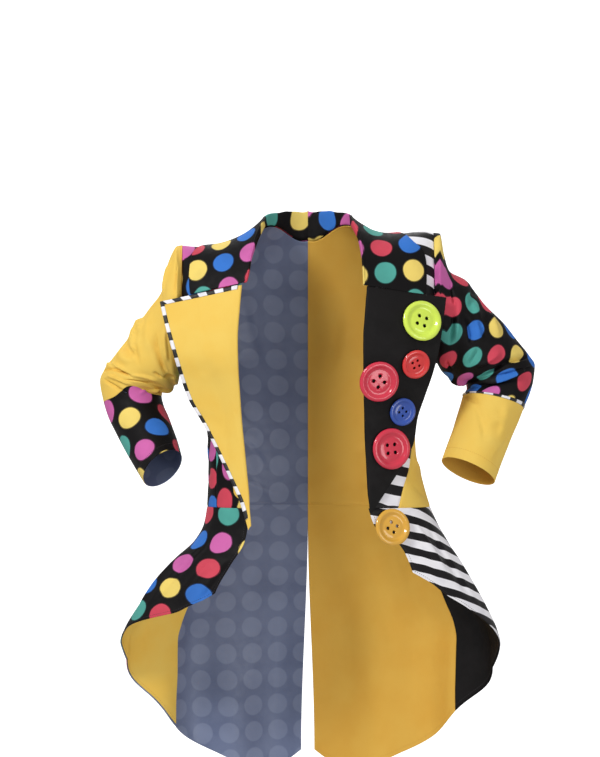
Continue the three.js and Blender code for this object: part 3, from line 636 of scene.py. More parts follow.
ARM_ROWS = "ring outerX outerZ innerX innerZ middleY depth lean"
ARMS = {
    "right": Table(
        ARM_ROWS,
        [
            (0, 226, 0, 226, -221, 0, 62, 0),
            (1, 236, -2, 230, -229, 1, 66, 0),
            (2, 253, -36, 232, -238, 4, 66, -2),
            (3, 262, -80, 234, -246, 8, 66, -4),
            (4, 288, -117, 236, -252, 14, 64, -6),
            (5, 322, -163, 240, -255, 22, 62, -7),
            (6, 350, -199, 248, -261, 31, 61, -6),
            (7, 368, -222, 257, -263, 39, 60, -3),
            (8, 377, -246, 263, -266, 43, 59, 2),
            (9, 370, -284, 265, -273, 41, 57, 8),
            (10, 361, -311, 261, -289, 32, 54, 14),
            (11, 347, -338, 252, -308, 17, 52, 19),
            (12, 329, -370, 243, -330, -3, 51, 24),
            (13, 309, -402, 235, -351, -25, 50, 27),
            (14, 290, -430, 230, -371, -47, 50, 28),
        ],
    ),
    "left": Table(
        ARM_ROWS,
        [
            (0, 226, 22, 226, -221, 0, 62, 0),
            (1, 237, 21, 230, -213, 1, 66, 0),
            (2, 245, -18, 232, -213, 3, 66, -1),
            (3, 254, -46, 236, -219, 6, 66, -3),
            (4, 284, -63, 241, -227, 10, 66, -4),
            (5, 318, -106, 250, -236, 16, 65, -5),
            (6, 354, -141, 262, -244, 23, 64, -5),
            (7, 378, -171, 273, -247, 29, 62, -4),
            (8, 400, -198, 281, -248, 33, 61, -3),
            (9, 411, -217, 286, -251, 35, 60, -1),
            (10, 408, -244, 287, -257, 34, 59, 3),
            (11, 401, -269, 285, -263, 31, 58, 7),
            (12, 391, -292, 281, -269, 27, 58, 11),
            (13, 380, -319, 275, -288, 20, 58, 14),
            (14, 368, -345, 268, -309, 11, 57, 16),
            (15, 357, -371, 261, -331, 1, 56, 17),
            (16, 346, -397, 252, -354, -10, 55, 17),
            (17, 334, -428, 240, -385, -24, 55, 17),
        ],
    ),
}
CUT_RING = {"right": 9, "left": 12}
CUFF_RING = {"right": 14, "left": 17}
SLEEVE_SEAM = -0.004

# On a bent elbow the seam is drawn up in an arch over the front of the arm, and the cloth near it goes with it.
SEAM_ARCH = {"right": 1.1, "left": 0.0}
ARCH_TURN = (98, 27)  # its middle, and how far it reaches to each side, in degrees
ARCH_RINGS = (5.5, 12)  # the rings between which the cloth goes with it


def drawn_up(side, turn, ring):
    near, cut, (above, below) = 0, CUT_RING[side.name], ARCH_RINGS
    if SEAM_ARCH[side.name]:
        near = smooth((ring - above) / (cut - above)) * smooth((below - ring) / (below - cut))
    off = (np.degrees(turn) % 360 - ARCH_TURN[0]) / ARCH_TURN[1]
    return ring - SEAM_ARCH[side.name] * np.exp(-(off**2)) * near


# The deep folds of a bent sleeve: ring and turn of their middle, how long and wide, how deep, and their slant.
FOLD_ROWS = "ring turn along around depth slant"
FOLDS = {
    "right": [
        (6.3, 128, 0.55, 38, 9, 0.012),
        (7.9, 150, 0.5, 42, 7, -0.01),
        (4.4, 150, 0.6, 34, 6, 0.014),
        (7.3, 218, 0.5, 36, 7, 0.01),
    ],
    "left": [
        (9.9, 100, 0.5, 52, 7, 0.008),
        (8.0, 145, 0.55, 36, 8, -0.012),
        (5.2, 140, 0.6, 34, 6, 0.015),
        (8.8, 222, 0.5, 36, 7, 0.01),
    ],
}
Fold = namedtuple("Fold", FOLD_ROWS)


def fold_depth(side, ring, degrees):
    depth = 0
    for fold in (Fold(*row) for row in FOLDS[side.name]):
        off = degrees - fold.turn
        across = (ring - fold.ring - fold.slant * off) / fold.along
        depth = depth + fold.depth * np.exp(-(across**2) - (off / fold.around) ** 2)
    return depth


def armhole_radius(side, turn):
    def inside(y, z):
        ring = np.minimum(z, CHEST_Z)
        share = reach(ARMHOLE_X / RINGS.at(side.name, ring), RINGS.at("power", ring))
        depth = np.where(y < 0, RINGS.at("front", ring), RINGS.at("back", ring)) * share
        rise = np.clip((z - CHEST_Z) / (SHOULDERS.at(side.name, ARMHOLE_X) - CHEST_Z), 0, 1)
        return (rise < 1) & (np.abs(y) < depth * np.cos(np.arcsin(rise)))

    low, high = np.zeros_like(turn), np.full_like(turn, 170.0)
    for _ in range(30):
        middle = (low + high) / 2
        within = inside(-middle * np.sin(turn), ARMHOLE_MIDDLE_Z + middle * np.cos(turn))
        low, high = np.where(within, middle, low), np.where(within, high, middle)
    return low


def arm_point(side, turn, ring):
    arm = ARMS[side.name]
    sign = side.sign
    outer = point(sign * arm.at("outerX", ring), arm.at("middleY", ring), arm.at("outerZ", ring))
    inner = point(sign * arm.at("innerX", ring), arm.at("middleY", ring), arm.at("innerZ", ring))
    middle, half = (outer + inner) / 2, (outer - inner) / 2
    lean = arm.at("lean", ring)[..., None] * DEGREE
    back = unit(point(-half[..., 2] * sign, 0, half[..., 0] * sign))
    forward = np.array([0, -1.0, 0]) * np.cos(lean) + back * np.sin(lean)
    depth = arm.at("depth", ring)
    shrink = 1 - fold_depth(side, ring, np.degrees(turn) % 360) / depth
    return middle + half * (np.cos(turn) * shrink)[..., None] + forward * (np.sin(turn) * depth * shrink)[..., None]


def sleeve_surface(side):
    """turn runs round the arm: 0 is the outer side, a quarter turn the front and a half turn the inner side."""

    def surface(turn, ring):
        turn, ring = np.broadcast_arrays(np.asarray(turn, float), np.asarray(ring, float))
        ring = drawn_up(side, turn, ring)
        radius = armhole_radius(side, turn)
        seam = point(
            side.sign * (ARMHOLE_X - ARMHOLE_LAP),
            -radius * np.sin(turn),
            ARMHOLE_MIDDLE_Z + radius * np.cos(turn),
        )
        leave = np.maximum(0, 1 - ring)[..., None]
        return arm_point(side, turn, ring) + (seam - arm_point(side, turn, np.zeros_like(ring))) * leave

    return surface


# --------------------------------------------------------------------------------------------------------- soft creases

# A crease is a soft ridge, or with a negative height a trough, along a bowed line from one place to another. Places
# on the body are an angle round the ring in degrees and a height; on an arm they are a turn in degrees and a ring.
Crease = namedtuple("Crease", "p0 q0 p1 q1 bow width height")
BODY_SCALE = (4.0, 1.0)
ARM_SCALE = (1.08, 29.0)
CREASE_LEAN = 0.35
ARM_DEPTH = 1.7  # how much more the arms' creases stand out than the table says


def crease_height(rows, p, q, scale, wrap=None):
    """How far the cloth stands out at p and q by all those creases."""
    total = np.zeros(np.broadcast(p, q).shape)
    for crease in (Crease(*row) for row in rows):
        middle = (crease.p0 + crease.p1) / 2
        near = p if wrap is None else middle + (p - middle + wrap / 2) % wrap - wrap / 2
        across, down = (near - crease.p0) * scale[0], (q - crease.q0) * scale[1]
        run = np.array([(crease.p1 - crease.p0) * scale[0], (crease.q1 - crease.q0) * scale[1]])
        length = float(np.hypot(*run))
        run = run / length
        t = (across * run[0] + down * run[1]) / length
        inside = np.clip(t, 0, 1)
        off = (down * run[0] - across * run[1] - crease.bow * 4 * inside * (1 - inside)) / crease.width
        off = off / (1 + CREASE_LEAN * np.tanh(off))
        taper = smooth((t + 0.06) / 0.34) * smooth((1.06 - t) / 0.34)
        total = total + crease.height * taper * np.exp(-(off**2)) * (1 - 0.5 * off**2)
    return total


BODY_CREASES = {
    "right": [
        (55, -561, 49, -640, 3, 9, -4.5),
        (45, -566, 40, -640, -3, 10, 3.0),
        (30, -520, 22, -650, 5, 16, -4.0),
        (14, -540, 8, -664, -4, 15, 3.6),
        (-4, -560, -10, -700, 5, 17, -3.4),
        (-22, -590, -26, -760, -4, 18, 3.0),
        (24, -262, 6, -300, 4, 9, -2.4),
        (8, -250, -12, -322, -5, 10, 2.6),
        (22, -330, 2, -372, 5, 10, -2.6),
        (6, -352, -16, -392, 4, 9, 2.2),
        (18, -404, -6, -438, -4, 9, -2.2),
        (-38, -250, -58, -330, 6, 11, -2.4),
        (-44, -338, -66, -402, -5, 11, 2.2),
        (-50, -420, -72, -452, 4, 9, -2.0),
        (-62, -90, -70, -210, 5, 13, 2.0),
        (-48, -60, -52, -170, -4, 12, -2.2),
        (-56, -520, -52, -700, 6, 18, -3.0),
        (-70, -560, -66, -820, -6, 20, 2.8),
        (-80, -620, -77, -860, 5, 14, -2.4),
        (-43, -640, -45, -830, -5, 18, -2.6),
    ],
    "left": [
        (50, -478, 40, -552, 4, 10, -3.6),
        (38, -490, 30, -590, -5, 12, 3.2),
        (26, -500, 18, -640, 5, 14, -3.8),
        (10, -530, 4, -680, -5, 16, 3.4),
        (-6, -548, -12, -720, 5, 17, -3.2),
        (-24, -600, -27, -770, 4, 16, 2.8),
        (20, -256, 2, -312, -4, 10, 2.6),
        (14, -300, -8, -338, 5, 9, -2.4),
        (24, -384, 0, -410, -4, 10, 2.4),
        (30, -428, 6, -456, 4, 9, -2.4),
        (-36, -262, -54, -352, -6, 11, 2.4),
        (-46, -318, -64, -380, 5, 11, -2.6),
        (-40, -432, -66, -448, -4, 9, 2.0),
        (-58, -70, -64, -190, -5, 13, -2.2),
        (-74, -120, -78, -240, 5, 13, 2.0),
        (-50, -540, -46, -720, -6, 18, 3.0),
        (-64, -530, -61, -780, 5, 18, -3.0),
        (-77, -600, -74, -880, -5, 16, 2.6),
        (-40, -700, -42, -850, 4, 16, -2.4),
    ],
}
ARM_CREASES = {
    "right": [
        (28, 1.56, 40, 2.8, 0, 8, 3.2),
        (44, 0.82, 76, 1.4, 0, 5, -2.4),
        (12, 4.28, 82, 5.44, -1, 2.4, -2.4),
        (10, 4.45, 70, 5.44, 0, 5, 2.0),
        (28, 3.87, 84, 4.45, 2, 7, 2.4),
        (70, 3.87, 132, 4.2, 3, 6, -5),
        (80, 3.05, 118, 3.54, 0, 8, 3),
        (106, 5.11, 126, 4.94, 0, 3.2, -3.6),
        (126, 4.94, 156, 2.64, 3, 4, -4.5),
        (78, 7.16, 144, 5.68, -4, 3, -4.4),
        (78, 6.34, 126, 5.44, -3, 5, 2.6),
        (12, 7.08, 84, 6.59, -7, 4, -4.4),
        (28, 7.74, 90, 8.98, -5, 3, -3.8),
        (34, 7.41, 94, 7.74, -5, 5, 3.6),
        (0, 6.26, 82, 6.42, 4, 3.4, -4.2),
        (0, 6.67, 68, 6.26, -3, 5, 3.2),
        (6, 4.78, 60, 4.86, 0, 7, 3),
        (14, 5.6, 64, 5.6, 3, 6, 3),
        (0, 5.19, 68, 5.19, 3, 4.5, -5.2),
        (0, 7.25, 36, 6.84, 0, 2.6, -3),
        (2, 4.45, 44, 4.45, 0, 6, 4.8),
        (108, 8.98, 180, 5.19, -3, 6, 4),
    ],
    "left": [
        (44, 3, 70, 3.5, 0, 4, -4),
        (80, 3.5, 116, 3.7, 2, 4.6, -5.5),
        (56, 3.7, 108, 4.2, -2, 6, 3.2),
        (72, 4.3, 92, 5.1, 2, 4.6, -5.5),
        (58, 4.9, 72, 5.5, 0, 4, -4),
        (38, 4.4, 82, 5.4, 2, 7, 3),
        (24, 5.2, 54, 6.1, -3, 8, 4),
        (0, 4.4, 60, 4.3, 2, 5, -4),
        (130, 7.8, 72, 7.6, -5, 5.5, -8),
        (80, 7.5, 24, 8, -2, 5.5, -6),
        (112, 6.3, 66, 6.8, -4, 8, 4.2),
        (126, 9.7, 40, 8.8, -5, 7, 4.4),
        (102, 8.7, 28, 9, -2, 4, -3.6),
        (180, 5.2, 158, 8, 3, 7, 5),
        (88, 5.6, 120, 5.7, 0, 4, -3),
        (144, 3.9, 154, 5.1, 0, 5, -4),
        (176, 12.1, 114, 13, -2, 8, -2.4),
        (70, 12.3, 54, 15, 3, 14, 2),
        (128, 13.2, 84, 15.6, 4, 10, -1.8),
        (60, 13.6, 96, 14.6, -3, 9, 1.6),
        (30, 14.2, 52, 16.4, 3, 9, -1.4),
    ],
}
LAPEL_CREASES = {
    "right": [
        (245, -158, 208, -139, 0, 12, 1.2),
        (196, -244, 150, -210, 4, 14, 1.0),
        (205, -300, 150, -330, -3, 12, -0.8),
    ],
    "left": [
        (218, -176, 130, -196, 4, 16, 0.8),
        (180, -330, 120, -352, -3, 14, 0.8),
    ],
}


# ----------------------------------------------------------------------------------------------------- making the cloth


EDGE_STOPS = (0.5, 1.2, 2.4, 4.2)  # how far from an edge the added stops lie
EDGE_ROUND = 0.9  # how soon the cloth's thickness rounds off at an edge
EDGE_PINCH = 0.38  # how much of the thickness goes at the edge, on each face
SEAM_DIP = (0.9, 2.6)  # how deep and how wide the cloth dips where it is sewn to the next piece


def stops(count, length=0.0, first=True, last=True, start=0.0, end=1.0):
    """Even stops, with a few more close to the edges of a piece of that length, so that they can round off."""
    values = set(np.linspace(0, 1, count + 1))
    if length:
        for close in EDGE_STOPS:
            values |= {close / length} if first else set()
            values |= {1 - close / length} if last else set()
    return lerp(start, end, np.array(sorted(values)))


def grid_normals(points, closed, outward, hint):
    """Unit normals of a grid of points, which look outward at the hint's share of it, and whether they were turned."""
    if closed:
        wide = np.concatenate([points[:, -2:-1], points, points[:, 1:2]], axis=1)
        along = (wide[:, 2:] - wide[:, :-2]) / 2
    else:
        along = np.gradient(points, axis=1)
    across = np.gradient(points, axis=0)
    normals = unit(np.cross(along, across))
    r, c = (int(round(share * (size - 1))) for share, size in zip(hint, points.shape[:2]))
    turned = dot(normals[r, c], np.array(outward)) < 0
    return (-normals if turned else normals), turned


def bend(before, after, normal):
    return np.arctan2(dot(normal, np.cross(before, after)), dot(before, after))


def lay_flat(points, normals, column):
    """Unrolls a grid of cloth onto a plane, with its lengths kept: a column first, and from it each row both ways."""
    spine, seams = points[:, column], normals[:, column]
    steps = np.diff(spine, axis=0)
    headings = np.concatenate([[0], np.cumsum(bend(steps[:-1], steps[1:], seams[1:-1]))])
    headings += (-90 if steps[:, 2].sum() < 0 else 90) * DEGREE
    lengths = np.linalg.norm(steps, axis=-1)
    walk = np.stack([np.cos(headings), np.sin(headings)], -1) * lengths[:, None]
    place = np.concatenate([[[0, 0]], np.cumsum(walk, axis=0)])
    down = np.gradient(spine, axis=0)
    heading = np.interp(np.arange(len(spine)), np.arange(len(steps)) + 0.5, headings)
    flat = np.zeros(points.shape[:2] + (2,))
    flat[:, column] = place
    for way in (1, -1):
        order = np.arange(column, points.shape[1]) if way > 0 else np.arange(column, -1, -1)
        if len(order) < 2:
            continue
        row = points[:, order]
        legs = np.diff(row, axis=1)
        first = heading + bend(down, legs[:, 0], seams)
        turns = bend(legs[:, :-1], legs[:, 1:], normals[:, order[1:-1]])
        angles = np.concatenate([first[:, None], first[:, None] + np.cumsum(turns, axis=1)], axis=1)
        reach_out = np.linalg.norm(legs, axis=-1)[..., None] * np.stack([np.cos(angles), np.sin(angles)], -1)
        flat[:, order[1:]] = place[:, None] + np.cumsum(reach_out, axis=1)
    return flat


def walked(points, axis):
    """How far each point of a grid is along its row, for axis 1, or down its column, for axis 0."""
    return np.insert(np.cumsum(np.linalg.norm(np.diff(points, axis=axis), axis=-1), axis=axis), 0, 0, axis=axis)


def roll_out(points, column):
    """A plainer start for a tube or a roll: each row straight, and the rows as far apart as that column has them."""
    along, down = (walked(points, axis) for axis in (1, 0))
    spine = slice(column, column + 1)
    return np.stack([along - along[:, spine], np.broadcast_to(-down[:, spine], along.shape)], -1)


# The grid's coarser steps on which the flat cloth settles, with the rounds at each, and how soon a link gives way.
SETTLE_ROUNDS = ((9, 260), (18, 120))
SETTLE_PULL = 0.15


def settle(flat, points):
    """Evens out what the unrolling stretched, so that the flat cloth keeps the lengths of the hung one everywhere."""
    rows, columns = points.shape[:2]
    along, down = walked(points, 1), walked(points, 0)
    every, before, after = slice(None), slice(None, -1), slice(1, None)
    for size, rounds in SETTLE_ROUNDS:
        r, c = (np.unique(np.linspace(0, n - 1, min(n, size + 1)).round().astype(int)) for n in (rows, columns))
        picked = np.ix_(r, c)
        hung, start = points[picked], flat[picked]
        wide, deep = np.diff(along[picked], axis=1), np.diff(down[picked], axis=0)
        right = unit(np.diff(hung, axis=1))[:-1] * wide[:-1, :, None]
        below = unit(np.diff(hung, axis=0))[:, :-1] * deep[:, :-1, None]
        links = [
            ((every, before), (every, after), wide),
            ((before, every), (after, every), deep),
            ((before, before), (after, after), np.linalg.norm(right + below, axis=-1)),
            ((before, after), (after, before), np.linalg.norm(below - right, axis=-1)),
        ]
        place = start.copy()
        for _ in range(rounds):
            move = np.zeros_like(place)
            for a, b, length in links:
                gap = place[b] - place[a]
                now = np.maximum(np.linalg.norm(gap, axis=-1), 1e-9)
                pull = gap * ((now - length) / now)[..., None] * SETTLE_PULL
                move[a] += pull
                move[b] -= pull
            place = place + move
        flat = flat + spread(place - start, r, c, rows, columns)
    return flat


def spread(moved, r, c, rows, columns):
    """Values given at some rows and columns of a grid, for the whole grid."""
    across = np.stack([[np.interp(np.arange(columns), c, line) for line in moved[..., k]] for k in (0, 1)], -1)
    full = [[np.interp(np.arange(rows), r, line) for line in across[..., k].T] for k in (0, 1)]
    return np.array(full).transpose(2, 1, 0)


def edge_distances(points):
    """How far each point is from the grid's first and last column, and first and last row, in that order."""
    along, down = walked(points, 1), walked(points, 0)
    return along, along[:, -1:] - along, down, down[-1:] - down


def ironed(flat, rounds=6):
    """The flat cloth with the small zigzags between neighbouring threads taken out."""
    for _ in range(rounds):
        flat[:, 1:-1] = (flat[:, :-2] + 2 * flat[:, 1:-1] + flat[:, 2:]) / 4
        flat[1:-1] = (flat[:-2] + 2 * flat[1:-1] + flat[2:]) / 4
    return flat


EDGES = ("first", "last", "top", "bottom")


class Cloth:
    """A piece of cloth on a grid of points, as a closed thin shell.

    Its edges are first and last for the grid's first and last column, and top and bottom for its first and last row.
    sewn names those that are seams. creases(u, v, base) gives how far the cloth stands out from the surface, hint is
    the share of the rows and columns at which the cloth looks outward, and spine the share at which it is unrolled.
    """

    def __init__(self, name, surface, us, vs, outward, **options):
        self.name = name
        self.closed = options.get("closed", False)
        self.thickness = options.get("thickness", WALL)
        self.sewn = options.get("sewn", "").split()
        u, v = np.meshgrid(us, vs)
        base = surface(u, v)
        normals, self.turned = grid_normals(base, self.closed, outward, options.get("hint", (0.5, 0.5)))
        trim = options.get("trim")
        self.distances = edge_distances(base)
        stand = options.get("creases")
        height = np.zeros(u.shape) if stand is None else stand(u, v, base)
        for edge, distance in zip(EDGES, self.distances):
            if edge in self.sewn:
                height = height - SEAM_DIP[0] * np.exp(-((distance / SEAM_DIP[1]) ** 2))
        self.near = np.minimum.reduce(self.distances[2:] if self.closed else self.distances)
        corner = np.clip(1 - self.near / EDGE_ROUND, 0, 1)
        pinch = self.thickness * EDGE_PINCH * (1 - np.sqrt(1 - corner**2))
        lift = options.get("lift", 0) + height
        self.outer = base + normals * (lift - pinch)[..., None]
        self.inner = base + normals * (lift - self.thickness + pinch)[..., None]
        if trim:
            self.outer, self.inner = trim(self.outer, u, v), trim(self.inner, u, v)
        self.normals = normals
        self.base = base
        hung = base + normals * height[..., None]
        spine = int(len(us) * options.get("spine", 0.5))
        rolled = self.closed or options.get("rolled", False)
        self.flat = ironed(settle(roll_out(base, spine) if rolled else lay_flat(base, normals, spine), hung))

    def line(self, edge, inset, inside=False):
        """The points of one face that lie that far in from an edge, and the way out of the face there."""
        face, out = (self.inner, -self.normals) if inside else (self.outer, self.normals)
        distance = self.distances[EDGES.index(edge)]
        if edge in ("top", "bottom"):
            face, out, distance = face.transpose(1, 0, 2), out.transpose(1, 0, 2), distance.T
        points, ways = [], []
        for row, way, far in zip(face, out, distance):
            if far.max() < inset:
                continue
            order = np.argsort(far)
            at = float(np.interp(inset, far[order], order))
            i = min(int(at), len(row) - 2)
            points.append(lerp(row[i], row[i + 1], at - i))
            ways.append(unit(lerp(way[i], way[i + 1], at - i)))
        return np.array(points), np.array(ways)

    def mesh(self, pattern, materials):
        """The shell as a mesh. pattern gives the cloth's printed coordinates in metres, from its flat ones."""
        rows, columns = self.near.shape
        kept = columns - 1 if self.closed else columns
        points = np.concatenate([self.outer[:, :kept].reshape(-1, 3), self.inner[:, :kept].reshape(-1, 3)]) * MM
        r, c = np.meshgrid(np.arange(rows - 1), np.arange(columns - 1), indexing="ij")
        corners = np.stack([r, c, r, c + 1, r + 1, c + 1, r + 1, c], -1).reshape(-1, 4, 2)
        if self.turned:
            corners = corners[:, ::-1]
        outer = corners[..., 0] * kept + corners[..., 1] % kept
        inner = outer[:, ::-1] + rows * kept
        coordinates = np.concatenate([corners, corners[:, ::-1]])
        rim, rim_corners = self.rim(rows, columns, kept)
        faces = np.concatenate([outer, inner, rim])
        coordinates = np.concatenate([coordinates, rim_corners])
        mesh = bpy.data.meshes.new(f"{self.name}_cloth")
        mesh.from_pydata(points.tolist(), [], faces.tolist())
        slots = np.zeros(len(faces), np.int32)
        slots[len(outer) : 2 * len(outer)] = 1
        mesh.polygons.foreach_set("material_index", slots)
        mesh.polygons.foreach_set("use_smooth", np.ones(len(faces), bool))
        for material in materials:
            mesh.materials.append(material)
        r, c = coordinates[..., 0].ravel(), coordinates[..., 1].ravel()
        for layer, values in (("Cloth", pattern(self)), ("Edge", np.stack([self.near, self.near], -1) * MM)):
            data = mesh.uv_layers.new(name=layer).data
            data.foreach_set("uv", values[r, c].astype(np.float32).ravel())
        mesh.update()
        return mesh

    def rim(self, rows, columns, kept):
        """The faces that close the shell at its edges, with the grid corners whose coordinates they take."""
        top = [(0, c) for c in range(columns)]
        bottom = [(rows - 1, c) for c in range(columns - 1, -1, -1)]
        if self.closed:
            loops = [top, bottom]
        else:
            right = [(r, columns - 1) for r in range(1, rows - 1)]
            left = [(r, 0) for r in range(rows - 2, 0, -1)]
            loops = [top + right + bottom + left + top[:1]]
        faces, corners = [], []
        for loop in loops:
            for (r0, c0), (r1, c1) in zip(loop, loop[1:]):
                a, b = r0 * kept + c0 % kept, r1 * kept + c1 % kept
                face = [a, a + rows * kept, b + rows * kept, b]
                corner = [(r0, c0), (r0, c0), (r1, c1), (r1, c1)]
                faces.append(face[::-1] if self.turned else face)
                corners.append(corner[::-1] if self.turned else corner)
        return np.array(faces), np.array(corners)


# --------------------------------------------------------------------------------------------------------- shader nodes


class Value:
    """A node socket that Python's own operators join to Math nodes."""

    def __init__(self, tree, socket):
        self.tree, self.socket = tree, socket

    def math(self, operation, *others):
        return self.tree.node("ShaderNodeMath", {"operation": operation}, dict(enumerate((self, *others))))

    def __add__(self, other):
        return self.math("ADD", other)

    def __sub__(self, other):
        return self.math("SUBTRACT", other)

    def __mul__(self, other):
        return self.math("MULTIPLY", other)

    def __truediv__(self, other):
        return self.math("DIVIDE", other)

    def __pow__(self, other):
        return self.math("POWER", other)

    def __rsub__(self, other):
        return self.tree.node("ShaderNodeMath", {"operation": "SUBTRACT"}, {0: other, 1: self})

    __radd__ = __add__
    __rmul__ = __mul__

    def floor(self):
        return self.math("FLOOR")

    def fraction(self):
        return self.math("FRACT")

    def sine(self):
        return self.math("SINE")

    def size(self):
        return self.math("ABSOLUTE")

    def least(self, other):
        return self.math("MINIMUM", other)

    def most(self, other):
        return self.math("MAXIMUM", other)

    def ease(self, low, high, start=0.0, end=1.0):
        """start below low and end above high, with a smooth step between them."""
        values = {"Value": self, "From Min": low, "From Max": high, "To Min": start, "To Max": end}
        return self.tree.node("ShaderNodeMapRange", {"interpolation_type": "SMOOTHSTEP"}, values)


class Finish:
    """A material under construction: its node tree, and the Principled shader at its end."""

    def __init__(self, name):
        self.material = bpy.data.materials.new(name)
        self.material.use_nodes = True
        self.nodes, self.links = self.material.node_tree.nodes, self.material.node_tree.links
        self.shader = self.nodes["Principled BSDF"]

    def node(self, kind, settings=None, values=None, output=0):
        """Any node, by its type, its settings, and the values or links of its sockets. Gives one of its outputs."""
        node = self.nodes.new(kind)
        for name, value in (settings or {}).items():
            if name == "stops":
                self.fill_ramp(node.color_ramp, value)
            else:
                setattr(node, name, value)
        for name, value in (values or {}).items():
            self.set(node.inputs[name], value)
        return Value(self, node.outputs[output])

    def fill_ramp(self, ramp, stops):
        ramp.interpolation = "CONSTANT"
        while len(ramp.elements) < len(stops):
            ramp.elements.new(1.0)
        for element, (position, colour) in zip(ramp.elements, stops):
            element.position, element.color = position, (*colour, 1.0)

    def set(self, socket, value):
        if isinstance(value, Value):
            self.links.new(value.socket, socket)
        elif socket.type == "RGBA" and not isinstance(value, (int, float)):
            socket.default_value = (*tuple(value)[:3], 1.0)
        else:
            socket.default_value = value

    def blend(self, factor, first, second):
        """One colour over another."""
        return self.node("ShaderNodeMix", {"data_type": "RGBA"}, {0: factor, 6: first, 7: second}, output=2)

    def split(self, vector):
        return [self.node("ShaderNodeSeparateXYZ", {}, {0: vector}, output=i) for i in (0, 1)]

    def cloth(self):
        """The printed cloth's own coordinates, in metres."""
        return self.split(self.node("ShaderNodeUVMap", {"uv_map": "Cloth"}))

    def edge(self):
        """How far the nearest edge is, in metres."""
        return self.split(self.node("ShaderNodeUVMap", {"uv_map": "Edge"}))[0]

    def noise(self, x, y, scale, detail=2.0):
        vector = self.node("ShaderNodeCombineXYZ", {}, {0: x, 1: y})
        values = {0: vector, "Scale": scale, "Detail": detail}
        return self.node("ShaderNodeTexNoise", {"noise_dimensions": "2D"}, values)

    def grain(self, scale, detail=2.0):
        """Noise in the object's own space."""
        place = self.node("ShaderNodeTexCoord", {}, {}, output=3)
        return self.node("ShaderNodeTexNoise", {}, {"Vector": place, "Scale": scale, "Detail": detail})

    def mottled(self, mottle, share, first, second):
        """One colour with soft patches of another."""
        return self.blend(mottle.ease(0.3, 0.75, 0.0, share), first, second)

    def bump(self, height, distance, strength):
        return self.node("ShaderNodeBump", {}, {"Height": height, "Distance": distance, "Strength": strength})

    def finish(self, colour, roughness, normal=None, **fixed):
        self.set(self.shader.inputs["Base Color"], colour)
        self.set(self.shader.inputs["Roughness"], roughness)
        if normal is not None:
            self.set(self.shader.inputs["Normal"], normal)
        for name, value in fixed.items():
            self.set(self.shader.inputs[name.replace("_", " ").title().replace("Ior", "IOR")], value)
        return self.material


# ------------------------------------------------------------------------------------------ colours, sizes and finishes


def shade(red, green, blue):
    """A colour as Blender holds it, from its 0 to 255 parts as a screen shows them."""
    parts = (c / 255 for c in (red, green, blue))
    return tuple(c / 12.92 if c <= 0.04045 else ((c + 0.055) / 1.055) ** 2.4 for c in parts)


def colour_setting(name, description, default):
    settings = {"subtype": "COLOR", "size": 3, "min": 0.0, "max": 1.0}
    return bpy.props.FloatVectorProperty(name=name, description=description, default=default, **settings)


def length_setting(name, description, default):
    settings = {"subtype": "DISTANCE", "unit": "LENGTH"}
    return bpy.props.FloatProperty(name=name, description=description, default=default, **settings)


TWILL_RIB = 0.0011  # from one slanting rib of the twill to the next, in metres


class TailcoatColours(bpy.types.PropertyGroup):
    ground: colour_setting("Satin", "Black ground of the dotted satin", shade(17, 15, 16))
    orchid: colour_setting("Orchid dots", "First colour of the dots", shade(208, 104, 172))
    teal: colour_setting("Teal dots", "Second colour of the dots", shade(84, 168, 156))
    yellow: colour_setting("Yellow dots", "Third colour of the dots", shade(240, 212, 112))
    blue: colour_setting("Blue dots", "Fourth colour of the dots", shade(56, 118, 204))
    red: colour_setting("Red dots", "Fifth colour of the dots", shade(212, 74, 92))
    golden: colour_setting("Golden twill", "Yellow twill of the lapel, sleeve and cuff", shade(240, 204, 100))
    black: colour_setting("Black twill", "Twill of the other lapel and facing", shade(17, 15, 15))
    stripe: colour_setting("White stripes", "White of the stripes and the edging", shade(244, 242, 246))
    lining: colour_setting("Wrong side", "Wrong side of the dotted satin", shade(104, 115, 146))
    lime: colour_setting("Lime button", "Largest button of the lapel", shade(216, 240, 84))
    scarlet: colour_setting("Red button", "Small red button", shade(222, 50, 50))
    rose: colour_setting("Rose buttons", "Two large buttons of the lapel", shade(214, 44, 70))
    navy: colour_setting("Blue button", "Small blue button", shade(40, 78, 168))
    amber: colour_setting("Waist button", "Yellow button at the waist", shade(226, 170, 58))


class TailcoatSizes(bpy.types.PropertyGroup):
    dot: length_setting("Dot", "Diameter of a printed dot", 0.039)
    dot_spacing: length_setting("Dot spacing", "From one dot's middle to the next", 0.049)
    stripe: length_setting("Stripe", "A white stripe and a black one together", 0.029)
    block: length_setting("Block", "A white block and a black one of the edging together", 0.032)
    stitch: length_setting("Stitch", "From one stitch to the next", 0.0042)
    floor: length_setting("Floor", "How far the floor is below the neck", 1.48)


DOT_COLOURS = ("yellow", "teal", "blue", "orchid", "red")
# How the dots' colour moves on along and across the cloth: by a step from one to the next, with a sway at a rate.
DOT_STEPS = ((0.394, 0.12, 2.21), (0.559, 0.156, 1.791))


def dot_colour(i, j):
    order = sum(step * n + sway * math.sin(rate * n) for n, (step, sway, rate) in zip((i, j), DOT_STEPS))
    return DOT_COLOURS[int(len(DOT_COLOURS) * (order % 1))]


def waves(value, length):
    """A sine wave along that coordinate, one to each length in metres."""
    return (value * (2 * math.pi / length)).sine()


def twill_relief(finish, x, y):
    """The fine slanting ribs of a twill, and its slight unevenness."""
    uneven = finish.noise(x, y, 45.0, detail=3.0)
    height = waves(x + y, TWILL_RIB) * 0.6 + waves(x - y * 0.4, 0.0006) * 0.25 + uneven * 2.0
    return finish.bump(height, 0.00012, 0.5)


